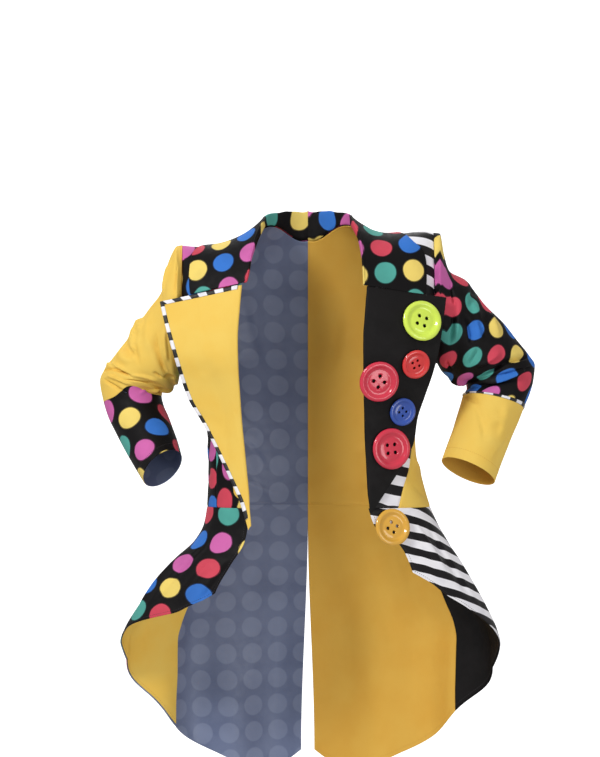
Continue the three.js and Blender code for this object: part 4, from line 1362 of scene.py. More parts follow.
def satin_relief(finish, x, y):
    threads = waves(y, 0.0005) * waves(x, 0.0021)
    return finish.bump(threads * 0.3 + finish.noise(x, y, 60.0, detail=3.0) * 2.2, 0.00011, 0.4)


def nearest_dot(x, y, sizes):
    """Which dot is nearest, along and across, and how far its middle is, in dot spacings."""
    across, down = x / sizes.dot_spacing, y / sizes.dot_spacing
    i, j = (across + 0.5).floor(), (down + 0.5).floor()
    return i, j, ((across - i) ** 2.0 + (down - j) ** 2.0) ** 0.5


def dotted_satin(colours, sizes):
    finish = Finish("dotted_satin")
    x, y = finish.cloth()
    i, j, share = nearest_dot(x, y, sizes)
    radius = share * sizes.dot_spacing + finish.noise(x, y, 38.0) * 0.0012
    inside = radius.ease(sizes.dot / 2 + 0.0002, sizes.dot / 2 + 0.0007, 1.0, 0.0)
    outline = inside * radius.ease(sizes.dot / 2 - 0.0010, sizes.dot / 2 - 0.0005)
    along, down = (n * step + (n * rate).sine() * sway for n, (step, sway, rate) in zip((i, j), DOT_STEPS))
    stops = [(n / len(DOT_COLOURS), getattr(colours, name)) for n, name in enumerate(DOT_COLOURS)]
    ink = finish.node("ShaderNodeValToRGB", {"stops": stops}, {0: (along + down).fraction()})
    mottle = finish.noise(x, y, 20.0, detail=4.0)
    ink = finish.blend(mottle.ease(0.3, 0.8, 0.0, 0.16), ink, shade(30, 24, 40))
    ground = finish.mottled(mottle, 0.5, colours.ground, shade(12, 10, 12))
    colour = finish.blend(outline * 0.85, finish.blend(inside, ground, ink), shade(14, 10, 26))
    rough = finish.noise(x, y, 90.0).ease(0.3, 0.7, 0.52, 0.62)
    return finish.finish(colour, rough, satin_relief(finish, x, y), specular_ior_level=0.12)


def satin_wrong_side(colours, sizes):
    """The pale wrong side of the printed satin, with the dots just showing through."""
    finish = Finish("satin_wrong_side")
    x, y = finish.cloth()
    edge = sizes.dot / 2 / sizes.dot_spacing
    ghost = nearest_dot(x, y, sizes)[2].ease(edge - 0.05, edge + 0.02, 1.0, 0.0)
    cloth = finish.mottled(finish.noise(x, y, 16.0, detail=4.0), 0.5, colours.lining, shade(76, 87, 120))
    colour = finish.blend(ghost * 0.22, cloth, shade(160, 170, 196))
    rough = finish.noise(x, y, 80.0).ease(0.3, 0.7, 0.42, 0.55)
    return finish.finish(colour, rough, satin_relief(finish, x, y))


def golden_twill(name, colours, shadow, least, most):
    """Yellow twill with patches of painted shade, whose strength goes from least to most."""
    finish = Finish(name)
    x, y = finish.cloth()
    mottle = finish.noise(x, y, 14.0, detail=4.0)
    colour = finish.blend(mottle.ease(0.3, 0.75, least, most), colours.golden, shadow)
    colour = finish.blend(waves(x + y, TWILL_RIB).ease(-1.0, 1.0, 0.0, 0.08), colour, shade(205, 140, 30))
    rough = finish.noise(x, y, 70.0).ease(0.3, 0.7, 0.62, 0.72)
    return finish.finish(colour, rough, twill_relief(finish, x, y), specular_ior_level=0.15)


def black_twill(colours):
    finish = Finish("black_twill")
    x, y = finish.cloth()
    colour = finish.mottled(finish.noise(x, y, 18.0, detail=4.0), 0.6, colours.black, shade(27, 24, 25))
    rough = finish.noise(x, y, 70.0).ease(0.3, 0.7, 0.5, 0.62)
    return finish.finish(colour, rough, twill_relief(finish, x, y), specular_ior_level=0.15)


def striped_satin(colours, sizes):
    finish = Finish("striped_satin")
    x, y = finish.cloth()
    share = ((y + finish.noise(x, y, 9.0) * 0.0016) / sizes.stripe + 0.25).fraction()
    edge = 0.012
    white = share.ease(0.0, edge) * share.ease(0.5, 0.5 + edge, 1.0, 0.0)
    mottle = finish.noise(x, y, 22.0, detail=4.0)
    dark = finish.mottled(mottle, 0.6, shade(19, 17, 19), shade(30, 27, 30))
    light = finish.blend(mottle.ease(0.35, 0.8, 0.0, 0.5), colours.stripe, shade(214, 212, 222))
    rough = finish.noise(x, y, 90.0).ease(0.3, 0.7, 0.38, 0.5)
    return finish.finish(finish.blend(white, dark, light), rough, satin_relief(finish, x, y), specular_ior_level=0.2)


def block_edging(colours, sizes):
    """Tape of white and black blocks, each pinched where it meets the next."""
    finish = Finish("block_edging")
    x, y = finish.cloth()
    share = (y / sizes.block).fraction()
    white = share.ease(0.0, 0.03) * share.ease(0.53, 0.56, 1.0, 0.0)
    join = (share - 0.545).size().least(share).least(1.0 - share)
    mottle = finish.noise(x, y, 60.0, detail=3.0)
    light = finish.blend(mottle.ease(0.35, 0.8, 0.0, 0.6), colours.stripe, shade(205, 205, 214))
    # Painted shade: the white darkens to grey towards the tape's sides, where the rounded tape turns away from the
    # light; at the joins the grey is the blocks' own dark seam.
    sides = finish.edge().ease(0.0002, 0.0011, 0.75, 0.0)
    light = finish.blend(sides.most(join.ease(0.0, 0.03, 0.7, 0.0)), light, shade(92, 92, 100))
    colour = finish.blend(white, shade(20, 18, 21), light)
    relief = finish.bump(waves(y, 0.0009) * 0.35 + join.ease(0.0, 0.06) * 3.0, 0.0002, 0.6)
    return finish.finish(colour, mottle.ease(0.3, 0.7, 0.4, 0.52), relief)


def button_plastic(name, colour):
    finish = Finish(name)
    swirl, fine = finish.grain(24.0, detail=3.0), finish.grain(900.0)
    body = finish.blend(swirl.ease(0.35, 0.7, 0.0, 0.35), tuple(colour), tuple(c * 0.72 for c in colour))
    relief = finish.bump(swirl, 0.0004, 0.25)
    return finish.finish(body, fine.ease(0.3, 0.7, 0.12, 0.2), relief, coat_weight=0.5, coat_roughness=0.06)


def thread_finish(name, light, dark):
    finish = Finish(name)
    ply = finish.grain(1400.0)
    colour = finish.blend(ply.ease(0.3, 0.7, 0.0, 0.5), light, dark)
    return finish.finish(colour, ply.ease(0.3, 0.7, 0.5, 0.7), finish.bump(ply, 0.0002, 0.6))


def studio_finish():
    finish = Finish("studio_paper")
    colour = finish.blend(finish.grain(3.0, detail=4.0).ease(0.3, 0.7), shade(252, 252, 252), shade(249, 249, 250))
    return finish.finish(colour, 0.9, emission_color=(1.0, 1.0, 1.0, 1.0), emission_strength=0.9)


FINISHES = {}


def make_finishes():
    colours, sizes = bpy.context.scene.tailcoat_colours, bpy.context.scene.tailcoat_sizes
    FINISHES.update(
        dots=dotted_satin(colours, sizes),
        wrong=satin_wrong_side(colours, sizes),
        golden=golden_twill("golden_twill", colours, shade(238, 184, 62), 0.0, 0.3),
        # Painted shade: the wrong side is deeper orange, with at least half of the shade colour everywhere, partly as
        # the twill's own wrong side and partly because the coat's inside falls in shadow.
        golden_wrong=golden_twill("golden_wrong_side", colours, shade(214, 150, 48), 0.5, 0.62),
        black=black_twill(colours),
        stripes=striped_satin(colours, sizes),
        blocks=block_edging(colours, sizes),
        golden_thread=thread_finish("golden_thread", shade(222, 168, 60), shade(178, 120, 30)),
        black_thread=thread_finish("black_thread", shade(34, 31, 34), shade(58, 54, 60)),
        lime=button_plastic("lime_plastic", colours.lime),
        scarlet=button_plastic("red_plastic", colours.scarlet),
        rose=button_plastic("rose_plastic", colours.rose),
        navy=button_plastic("blue_plastic", colours.navy),
        amber=button_plastic("yellow_plastic", colours.amber),
    )


# -------------------------------------------------------------------------------------------------- prints on the cloth


def placed(cloth, turn, x, z):
    """The flat cloth's coordinates from the place that shows at x and z, turned by that angle from the level there."""
    hidden = np.where(cloth.normals[..., 1] > 0, 1e5, 0)
    off = (cloth.base[..., 0] - x) ** 2 + (cloth.base[..., 2] - z) ** 2 + hidden
    r, c = np.unravel_index(np.argmin(off), off.shape)
    r, c = min(max(r, 1), off.shape[0] - 2), min(max(c, 1), off.shape[1] - 2)
    steps = [cloth.base[r, c + 1] - cloth.base[r, c - 1], cloth.base[r + 1, c] - cloth.base[r - 1, c]]
    spans = np.array([cloth.flat[r, c + 1] - cloth.flat[r, c - 1], cloth.flat[r + 1, c] - cloth.flat[r - 1, c]])
    normal = cloth.normals[r, c]
    up = unit(np.array([0, 0, 1.0]) - normal * normal[2])
    ways = []
    for way in (np.cross(up, normal), up):
        shares = np.linalg.lstsq(np.array(steps).T, way, rcond=None)[0]
        ways.append(unit(shares @ spans))
    level, rise = ways
    beyond = level * (x - cloth.base[r, c, 0]) + rise * (z - cloth.base[r, c, 2])
    cos, sin = math.cos(turn * DEGREE), math.sin(turn * DEGREE)
    return (cloth.flat - cloth.flat[r, c] - beyond) @ np.stack([level * cos + rise * sin, rise * cos - level * sin], -1)


PLACES = range(4, 64)  # the places of the print, along and across, among which one is chosen


def dots_at(turn, x, z, dots, wide=(1, 1)):
    """The dotted print, with a dot at x and z, made that much wider and longer there.

    dots has the colours wanted by how many dots along and up they are from that one. As many as can be are met.
    """

    def likeness(start):
        i, j = start
        return sum((dot_colour(i + a, j + b) == name) * (1 + (a == b == 0)) for (a, b), name in dots.items())

    def pattern(cloth):
        start = np.array(max(((i, j) for i in PLACES for j in PLACES), key=likeness))
        spacing = bpy.context.scene.tailcoat_sizes.dot_spacing
        return placed(cloth, turn, x, z) * MM / np.array(wide) + start * spacing

    return pattern


def stripes_at(turn, x, z, wide=1.0):
    """The striped print, with the middle of a white stripe at x and z, made that much wider."""
    return lambda cloth: placed(cloth, turn, x, z) * MM / wide


def plain(cloth):
    return cloth.flat * MM


def blocks_along(edge, across, offset):
    """The edging's blocks, counted from that edge with an offset, in millimetres. across is an edge along the tape."""

    def pattern(cloth):
        run, side = cloth.distances[EDGES.index(edge)], cloth.distances[EDGES.index(across)]
        columns = edge == "top"
        middle = run[:, run.shape[1] // 2][:, None] if columns else run[run.shape[0] // 2][None]
        return np.stack([side, np.broadcast_to(middle, run.shape) - offset(middle)], -1) * MM

    return pattern


# ----------------------------------------------------------------------------------------------------------- the pieces

FORWARD = (0, -1, 0)
BACKWARD = (0, 1, 0)
LEAST_CUT = 0.0105  # a narrow tape is cut at least this wide, and its edges are turned under
FRONT_HIDDEN = 7.0  # how far the front stops short of its edge, inside the lapel's roll
SHOULDER_LEVEL = 1 - 2e-3
LAPEL_END = 0.35  # how many rows before the lapel's tip its edging ends
CORNER_STOP = 60  # the row of the lapel's edging at its corner, and how far from it a block starts
CORNER_SHIFT = 9.5
CUFF_EDGING = (0.15, 1.5)  # half the cuff edging's width, in rings, and how far it stands out
EDGING_THICKNESS = 0.5

# The finish of each fabric's right side and of its wrong side, and the cloth's name.
FABRICS = {
    "dotted": ("dots", "wrong", "dotted_cloth"),
    "dotted on both sides": ("dots", "dots", "dotted_cloth"),
    "striped": ("stripes", "black", "striped_cloth"),
    "yellow": ("golden", "golden_wrong", "yellow_cloth"),
    "yellow on both sides": ("golden", "golden", "yellow_cloth"),
    "black": ("black", "black", "black_cloth"),
    "blocks": ("blocks", "blocks", "block_edging"),
}

SKIRT_DOTS = {(0, 0): "yellow", (1, 0): "blue", (0, 1): "orchid", (1, 1): "red", (-1, -1): "teal"}
LOWER_SLEEVE_DOTS = {
    (0, 0): "teal",
    (1, 0): "blue",
    (0, 1): "orchid",
    (0, -1): "yellow",
    (-1, 0): "orchid",
    (1, -1): "orchid",
}
UPPER_SLEEVE_DOTS = {(0, 0): "teal", (1, 0): "red", (-1, 0): "red", (2, 0): "blue", (0, 1): "blue", (1, 1): "yellow"}

# What each piece is cut from, how the print lies on it, and the pieces it hangs from.
Cut = namedtuple("Cut", "fabric pattern hung_from")
CUTS = {
    "front_right": Cut(
        "dotted", dots_at(0, -243, -68, {(0, 0): "yellow", (0, 1): "orchid"}, (1, 1.3)), ["collar_right"]
    ),
    "front_left": Cut("striped", stripes_at(-24, 217, -30, 1.3), ["collar_left"]),
    "side_body_right": Cut("dotted", dots_at(5, -188, -424, {(0, 0): "orchid", (0, -1): "yellow"}), ["back_right"]),
    "side_body_left": Cut("yellow", plain, ["back_left"]),
    "back_right": Cut("dotted", dots_at(0, -100, -300, {(0, 0): "blue"}), ["collar_right"]),
    "back_left": Cut("yellow", plain, ["collar_left"]),
    "skirt_right": Cut("dotted", dots_at(-8, -247, -612, SKIRT_DOTS, (1.3, 1.04)), ["side_body_right"]),
    "skirt_left": Cut("striped", stripes_at(-11, 190, -560), ["side_body_left"]),
    "facing_right": Cut("yellow on both sides", plain, ["skirt_right"]),
    "facing_left": Cut("black", plain, ["skirt_left"]),
    "tail_right": Cut("dotted", dots_at(0, -150, -700, {(0, 0): "teal"}), ["back_right"]),
    "tail_left": Cut("yellow", plain, ["back_left"]),
    "lapel_right": Cut("yellow on both sides", plain, ["front_right"]),
    "lapel_left": Cut("black", plain, ["front_left"]),
    "collar_right": Cut(
        "dotted on both sides",
        dots_at(20, -198, -47, {(0, 0): "yellow", (0, 1): "red", (0, -1): "teal"}, (1, 1.15)),
        ["back_right"],
    ),
    "collar_left": Cut(
        "dotted on both sides",
        dots_at(0, 187, -47, {(0, 0): "yellow", (0, 1): "blue", (-1, 0): "teal"}, (1.05, 1.12)),
        ["back_left"],
    ),
    "sleeve_upper_right": Cut("yellow", plain, ["front_right", "back_right"]),
    "sleeve_lower_right": Cut(
        "dotted", dots_at(-12, -322, -311, LOWER_SLEEVE_DOTS, (1.28, 1.08)), ["sleeve_upper_right"]
    ),
    "sleeve_upper_left": Cut(
        "dotted", dots_at(-2, 294, -203, UPPER_SLEEVE_DOTS, (0.88, 1.12)), ["front_left", "back_left"]
    ),
    "cuff_left": Cut("yellow", plain, ["sleeve_upper_left"]),
    "edging_lapel_right": Cut(
        "blocks", blocks_along("top", "first", lambda run: run[CORNER_STOP] + CORNER_SHIFT), ["lapel_right"]
    ),
    "edging_cuff_left": Cut("blocks", blocks_along("first", "top", lambda run: run[:, :1]), ["sleeve_upper_left"]),
}
Sewn = namedtuple("Sewn", "cloth piece width length area")
SEWN = {}


def sew(name, *grid, node=None, **options):
    """Makes that piece of cloth, in place of its solid, and notes how large it was cut."""
    cloth = Cloth(name, *grid, **options)
    outer, inner, slot = FABRICS[CUTS[name].fabric]
    mesh = cloth.mesh(CUTS[name].pattern, [FINISHES[outer], FINISHES[inner]])
    piece = bpy.data.objects.new(f"{name}_cloth", mesh)
    bpy.context.collection.objects.link(piece)
    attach(piece, "root")
    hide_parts(node or name)
    area = sum(polygon.area for polygon in mesh.polygons) / 2
    width, length = np.ptp(cloth.flat.reshape(-1, 2), axis=0) * MM
    length = max(length, LEAST_CUT)
    if area < 0.3 * width * length:  # a tape bent round a corner lies in a box much larger than itself
        width = max(walked(cloth.flat, axis).max(axis).mean() for axis in (0, 1)) * MM
        length = max(area / width, LEAST_CUT)
    SEWN[name] = Sewn(cloth, piece, float(width), float(length), float(min(area, width * length)))


def declare_cuts(threads):
    """Goes through each piece of cloth, with the pieces it hangs from and the threads sewn on it."""
    for name, (_, piece, width, length, area) in SEWN.items():
        above, sewn_on = [f"{other}_cloth" for other in CUTS[name].hung_from], threads.get(name, [])


def sideways(side):
    return (side.sign, 0, 0)


def body_creases(side):
    """How far the body's cloth stands out, by its angle round the ring in degrees and its height."""

    def stand(u, v, base):
        ring = np.minimum(base[..., 2], CHEST_Z)
        share = np.clip(np.abs(base[..., 0]) / RINGS.at(side.name, ring), 0, 1)
        angle = angle_at(share, RINGS.at("power", ring))
        place = np.where(base[..., 1] > 0, -angle, angle) / DEGREE
        return crease_height(BODY_CREASES[side.name], place, base[..., 2], BODY_SCALE)

    return stand


def arm_creases(side):
    def stand(turn, ring, base):
        place = turn / DEGREE, drawn_up(side, turn, ring)
        return ARM_DEPTH * crease_height(ARM_CREASES[side.name], *place, ARM_SCALE, 360)

    return stand


def lapel_creases(side):
    def stand(u, v, base):
        height = crease_height(LAPEL_CREASES[side.name], np.abs(base[..., 0]), base[..., 2], (1.0, 1.0))
        return height * smooth(u * 4)

    return stand


def body_rows():
    """A front's or back's rows, from the waist to the chest, and from there almost to the shoulder line."""
    return np.concatenate([stops(60, 260, last=False, start=-1, end=0), stops(60, end=SHOULDER_LEVEL)[1:]])


def make_front(side):
    across, creases = stops(30, 100) ** 0.9, body_creases(side)
    surface = front_surface(side, FRONT_HIDDEN)
    sew(f"front_{side.name}", surface, across, body_rows(), FORWARD, sewn="last top bottom", creases=creases)


def make_back(side):
    def trim(points, u, v):
        points[np.abs(u) < 1e-9, 0] = side.sign * INSET
        return points

    options = {"sewn": "first last top bottom", "creases": body_creases(side), "trim": trim}
    sew(f"back_{side.name}", back_surface(side), stops(48, 220), body_rows(), BACKWARD, **options)


def make_side_body(side):
    rows = stops(64, 260, start=-1, end=0)
    options = {"sewn": "first last top bottom", "creases": body_creases(side)}
    sew(f"side_body_{side.name}", side_body_surface(side), stops(28, 140), rows, sideways(side), **options)


def make_skirt(side):
    """A skirt, and the facing inside it."""
    surface, creases = skirt_surface(side), body_creases(side)
    grid = stops(84, 380), stops(84, 260), sideways(side)
    sew(f"skirt_{side.name}", surface, *grid, sewn="last top", creases=creases)
    behind = {"lift": -WALL - SOLID_GAP - 0.35, "thickness": FACING_WALL}
    sew(f"facing_{side.name}", lambda u, v: surface(lerp(0.006, 0.998, u), v * 0.99), *grid, creases=creases, **behind)


def make_tail(side):
    options = {"sewn": "first top", "creases": body_creases(side)}
    sew(f"tail_{side.name}", tail_surface(side), stops(80, 300), stops(100, 440), BACKWARD, **options)


def make_lapel(side):
    flap, roll = stops(8, 24, last=False, start=-1, end=ROLL_SHARE), stops(10, start=ROLL_SHARE, end=0)
    across = np.concatenate([flap, roll[1:], stops(40, 110, first=False)[1:]])
    rows = stops(100, 430, start=0, end=LAPEL_ROWS)
    options = {"hint": (0.5, 0.8), "creases": lapel_creases(side)}
    sew(f"lapel_{side.name}", rolled_lapel_surface(side), across, rows, FORWARD, **options)


def make_lapel_edging(side):
    rows = np.concatenate([np.linspace(-1, 0, CORNER_STOP + 1), np.linspace(0, LAPEL_ROWS - LAPEL_END, 181)[1:]])
    options = {"hint": (0.3, 0.5), "thickness": EDGING_THICKNESS}
    sew(f"edging_lapel_{side.name}", lapel_edging_surface(side), np.linspace(0, 12, 37), rows, FORWARD, **options)


def make_cuff_edging(side):
    cut, (half, height) = CUT_RING[side.name], CUFF_EDGING

    def dome(turn, ring, base):
        return arm_creases(side)(turn, ring, base) + height * np.sqrt(np.clip(1 - ((ring - cut) / half) ** 2, 0, 1))

    turns, rings = np.linspace(0, 2 * math.pi, 145), cut + half * np.sin(np.linspace(-math.pi / 2, math.pi / 2, 13))
    options = {"closed": True, "hint": (0.5, 0.0), "creases": dome, "lift": 0.1, "thickness": EDGING_THICKNESS}
    sew(f"edging_cuff_{side.name}", sleeve_surface(side), turns, rings, sideways(side), **options)


def make_collar(side):
    """Half of the collar, from its front end to the seam behind the neck."""
    right = side is RIGHT
    start, end = (0.0, 0.5) if right else (0.5, 1.0)
    stand, roll = stops(6, end=COLLAR_STAND), stops(8, start=COLLAR_STAND, end=COLLAR_OVER)
    rows = np.concatenate([stand, roll[1:], stops(40, 110, first=False, start=COLLAR_OVER)[1:]])
    options = {"hint": (0.8, 0.9 if right else 0.1), "spine": 0.14 if right else 0.86, "rolled": True}
    options.update(thickness=1.5, sewn="last" if right else "first", node="collar")
    sew(f"collar_{side.name}", collar_surface, stops(120, 410, start=start, end=end), rows, BACKWARD, **options)


def make_sleeve(side, name, start, end):
    def trim(points, turn, ring):
        points[ring == 0, 0] = side.sign * (ARMHOLE_X - ARMHOLE_LAP)
        return points

    turns = np.linspace(math.pi, 3 * math.pi, 145)
    rings = stops(int(round((end - start) * 11)), (end - start) * ARM_SCALE[1], start=start, end=end)
    options = {"closed": True, "hint": (0.3, 0.5), "spine": 0.72, "creases": arm_creases(side)}
    sew(name, sleeve_surface(side), turns, rings, sideways(side), trim=trim if start == 0 else None, **options)


# ------------------------------------------------------------------------------------------------------------- stitches

THREAD_RADIUS = 0.32
STITCH_SHARE = 0.68  # how much of each step the stitch shows
STITCH_SUNK = 0.55  # how far its middle stands out of the cloth, in thread radii
STITCH_RINGS = [(-0.5, 0.25), (-0.38, 0.85), (0, 1), (0.38, 0.85), (0.5, 0.25)]  # along the stitch, and how thick it is


def resample(points, ways, step):
    """Stops that far apart along a line, with the line's direction and the way out of the cloth at each."""
    lengths = np.concatenate([[0], np.cumsum(np.linalg.norm(np.diff(points, axis=0), axis=-1))])
    middles = np.arange(step, lengths[-1] - step, step)
    at = lambda values, where: np.stack([np.interp(where, lengths, column) for column in values.T], -1)
    ahead = unit(at(points, middles + step / 4) - at(points, middles - step / 4))
    return at(points, middles), ahead, unit(at(ways, middles))


# A row of stitches on a piece of cloth: how far in from which edge, on which face, and from which share to which.
Seam = namedtuple("Seam", "cloth edge inset inside thread first last", defaults=(False, "golden", 0.0, 1.0))


def sew_stitches(seam, number):
    cloth = SEWN[seam.cloth].cloth
    step = bpy.context.scene.tailcoat_sizes.stitch / MM
    points, ways = cloth.line(seam.edge, seam.inset, seam.inside)
    first, last = (int(round(share * (len(points) - 1))) for share in (seam.first, seam.last))
    middles, ahead, out = resample(points[first : last + 1], ways[first : last + 1], step)
    beside = unit(np.cross(out, ahead))
    corners, faces, sides = [], [], 6
    for middle, forward, outward, across in zip(middles, ahead, out, beside):
        base = len(corners)
        for along, thick in STITCH_RINGS:
            for k in range(sides):
                angle = 2 * math.pi * k / sides
                round_it = across * math.cos(angle) + outward * math.sin(angle)
                dip = outward * THREAD_RADIUS * (STITCH_SUNK - 3.0 * along**2)
                corners.append(middle + forward * along * step * STITCH_SHARE + round_it * THREAD_RADIUS * thick + dip)
        for ring in range(len(STITCH_RINGS) - 1):
            for k in range(sides):
                a, b = base + ring * sides + k, base + ring * sides + (k + 1) % sides
                faces.append((a, b, b + sides, a + sides))
        faces.append(tuple(base + k for k in reversed(range(sides))))
        faces.append(tuple(base + (len(STITCH_RINGS) - 1) * sides + k for k in range(sides)))
    name = f"{seam.cloth}_{seam.edge}_stitches_{number}"
    stitches = mesh_object(name, (np.array(corners) * MM).tolist(), faces, FINISHES[f"{seam.thread}_thread"])
    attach(stitches, "root")
    "yellow_cloth" if seam.thread == "golden" else "black_cloth"
    return stitches


SEAMS = [
    Seam("facing_right", "first", 5, inside=True),
    Seam("facing_right", "bottom", 6, inside=True),
    Seam("facing_left", "first", 5, inside=True, thread="black"),
    Seam("facing_left", "bottom", 6, inside=True, thread="black"),
    Seam("skirt_right", "bottom", 6, thread="black"),
    Seam("skirt_right", "first", 6, thread="black"),
    Seam("skirt_left", "bottom", 6, thread="black"),
    Seam("skirt_left", "first", 6, thread="black"),
    Seam("tail_right", "bottom", 9, thread="black"),
    Seam("tail_right", "last", 9, thread="black", first=0.12),
    Seam("tail_left", "bottom", 9),
    Seam("tail_left", "last", 9, first=0.12),
    Seam("tail_left", "bottom", 9, inside=True),
    Seam("cuff_left", "bottom", 20),
    Seam("cuff_left", "bottom", 20, inside=True),
    Seam("sleeve_lower_right", "bottom", 15, thread="black"),
    Seam("back_left", "first", 3.2, first=0.02, last=0.98),
    Seam("side_body_left", "last", 3.2, first=0.02, last=0.98),
    Seam("sleeve_upper_right", "top", 4.5),
]


# -------------------------------------------------------------------------------------------------------------- buttons

# Each show button with its plastic, its diameter in metres and how far it is turned.
Button = namedtuple("Button", "node slot plastic diameter twist")
BUTTONS = [
    Button("button_lime", "button_lime", "lime", 0.072, 0.3),
    Button("button_red_small", "button_red", "scarlet", 0.052, 0.1),
    Button("button_rose_upper", "button_rose", "rose", 0.072, 0.4),
    Button("button_blue_small", "button_blue", "navy", 0.050, 0.0),
    Button("button_rose_lower", "button_rose", "rose", 0.073, 0.05),
    Button("button_waist_yellow", "button_yellow", "amber", 0.066, 0.2),
]
BUTTON_RIM = 0.115  # height of the rim, and of the dish's floor, as shares of the diameter
BUTTON_FLOOR = 0.055
HOLE_RADIUS = 0.048
HOLE_SPACING = 0.098


def button_profile(diameter):
    """Half of the button's section, from the middle of its back round the rim to the middle of its face."""
    r, rim, floor = diameter / 2, BUTTON_RIM * diameter, BUTTON_FLOOR * diameter
    crown, foot = 0.84 * r, 0.58 * r
    points = [(0.0, 0.0), (0.4 * r, 0.0), (0.7 * r, 0.0)]
    for i in range(21):
        angle = (i / 20 - 0.5) * math.pi
        points.append((crown + (r - crown) * math.cos(angle), rim / 2 * (1 + math.sin(angle))))
    for i in range(1, 11):
        ease = (1 - math.cos(i / 10 * math.pi)) / 2
        points.append((lerp(crown, foot + 0.05 * r, i / 10), lerp(rim, floor * 0.98, ease)))
    points += [(foot + 0.02 * r, floor * 0.9), (foot - 0.02 * r, floor * 0.93), (foot - 0.06 * r, floor * 1.02)]
    return points + [(share * r, floor * (1.06 + 0.08 * (1 - share))) for share in (0.44, 0.32, 0.2, 0.1, 0.0)]


def lathe(profile, segments=96):
    """A closed mesh turned round the Y axis from a profile that starts and ends on it."""
    rings = profile[1:-1]
    points = [(0.0, profile[0][1], 0.0)]
    for x, y in rings:
        for k in range(segments):
            angle = 2 * math.pi * k / segments
            points.append((x * math.cos(angle), y, x * math.sin(angle)))
    points.append((0.0, profile[-1][1], 0.0))
    at = lambda ring, k: 1 + ring * segments + k % segments
    faces = [(0, at(0, k), at(0, k + 1)) for k in range(segments)]
    for ring in range(len(rings) - 1):
        faces += [(at(ring, k), at(ring + 1, k), at(ring + 1, k + 1), at(ring, k + 1)) for k in range(segments)]
    last, top = len(rings) - 1, len(points) - 1
    faces += [(at(last, k), top, at(last, k + 1)) for k in range(segments)]
    return points, faces


def mesh_object(name, points, faces, material=None):
    mesh = bpy.data.meshes.new(name)
    mesh.from_pydata(points, [], faces)
    mesh.polygons.foreach_set("use_smooth", [True] * len(faces))
    if material:
        mesh.materials.append(material)
    piece = bpy.data.objects.new(name, mesh)
    bpy.context.collection.objects.link(piece)
    return piece


def hole_places(diameter):
    spacing = HOLE_SPACING * diameter
    return [(i * spacing, j * spacing) for i in (-1, 1) for j in (-1, 1)]


def drill(piece, diameter):
    """Cuts the four holes, and leaves the cut mesh on the piece with no modifier."""
    points, faces = [], []
    sides, radius, high = 24, HOLE_RADIUS * diameter, BUTTON_RIM * diameter * 2
    for x, z in hole_places(diameter):
        base = len(points)
        for y in (-high, high):
            for k in range(sides):
                angle = 2 * math.pi * k / sides
                points.append((x + radius * math.cos(angle), y, z + radius * math.sin(angle)))
        for k in range(sides):
            a, b = base + k, base + (k + 1) % sides
            faces.append((a, a + sides, b + sides, b))
        faces += [tuple(base + k for k in range(sides)), tuple(base + sides + k for k in reversed(range(sides)))]
    cutter = mesh_object("hole_cutter", points, faces)
    modifier = piece.modifiers.new("holes", "BOOLEAN")
    modifier.operation, modifier.solver, modifier.object = "DIFFERENCE", "EXACT", cutter
    graph = bpy.context.evaluated_depsgraph_get()
    cut = bpy.data.meshes.new_from_object(piece.evaluated_get(graph))
    piece.modifiers.clear()
    piece.data = cut
    bpy.data.objects.remove(cutter)


def button_stand(node):
    """Where a button's solid lies: the middle of its back, and the way its face looks."""
    corners = np.array([tuple(vertex.co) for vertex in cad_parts[node].data.vertices])
    middle = corners.mean(0)
    normal = np.linalg.svd(corners - middle, full_matrices=False)[2][2]
    normal = normal * (-1 if normal[1] > 0 else 1)
    return middle + normal * ((corners - middle) @ normal).min(), normal


def make_button(button):
    place, normal = button_stand(button.node)
    points, faces = lathe(button_profile(button.diameter))
    piece = mesh_object(f"{button.node}_disc", points, faces, FINISHES[button.plastic])
    drill(piece, button.diameter)
    turn = Vector((0, 1, 0)).rotation_difference(Vector(normal)) @ Quaternion((0, 1, 0), button.twist)
    matrix = turn.to_matrix().to_4x4()
    matrix.translation = Vector(place)
    piece.data.transform(matrix)
    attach(piece, "root")
    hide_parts(button.node)


# ------------------------------------------------------------------------------------------------------------ operators


class TAILCOAT_OT_body(bpy.types.Operator):
    """Makes the fronts, side bodies and backs"""

    bl_idname = "tailcoat.body"
    bl_label = "Body"

    def execute(self, context):
        for side in (RIGHT, LEFT):
            make_front(side)
            make_side_body(side)
            make_back(side)
        return {"FINISHED"}


class TAILCOAT_OT_skirts(bpy.types.Operator):
    """Makes the skirts with their facings, and the tails"""

    bl_idname = "tailcoat.skirts"
    bl_label = "Skirts and tails"

    def execute(self, context):
        for side in (RIGHT, LEFT):
            make_skirt(side)
            make_tail(side)
        return {"FINISHED"}


class TAILCOAT_OT_lapels(bpy.types.Operator):
    """Makes the lapels"""

    bl_idname = "tailcoat.lapels"
    bl_label = "Lapels"

    def execute(self, context):
        for side in (RIGHT, LEFT):
            make_lapel(side)
        return {"FINISHED"}


class TAILCOAT_OT_collar(bpy.types.Operator):
    """Makes the collar"""

    bl_idname = "tailcoat.collar"
    bl_label = "Collar"

    def execute(self, context):
        make_collar(RIGHT)
        make_collar(LEFT)
        return {"FINISHED"}


class TAILCOAT_OT_sleeves(bpy.types.Operator):
    """Makes both sleeves and the left cuff"""

    bl_idname = "tailcoat.sleeves"
    bl_label = "Sleeves"

    def execute(self, context):
        for side, upper, lower in (
            (RIGHT, "sleeve_upper_right", "sleeve_lower_right"),
            (LEFT, "sleeve_upper_left", "cuff_left"),
        ):
            cut = CUT_RING[side.name]
            make_sleeve(side, upper, 0, cut - SLEEVE_SEAM)
            make_sleeve(side, lower, cut + SLEEVE_SEAM, CUFF_RING[side.name])
        return {"FINISHED"}


class TAILCOAT_OT_edging(bpy.types.Operator):
    """Makes the block edging of the right lapel and of the left cuff"""

    bl_idname = "tailcoat.edging"
    bl_label = "Block edging"

    def execute(self, context):
        make_lapel_edging(RIGHT)
        make_cuff_edging(LEFT)
        return {"FINISHED"}


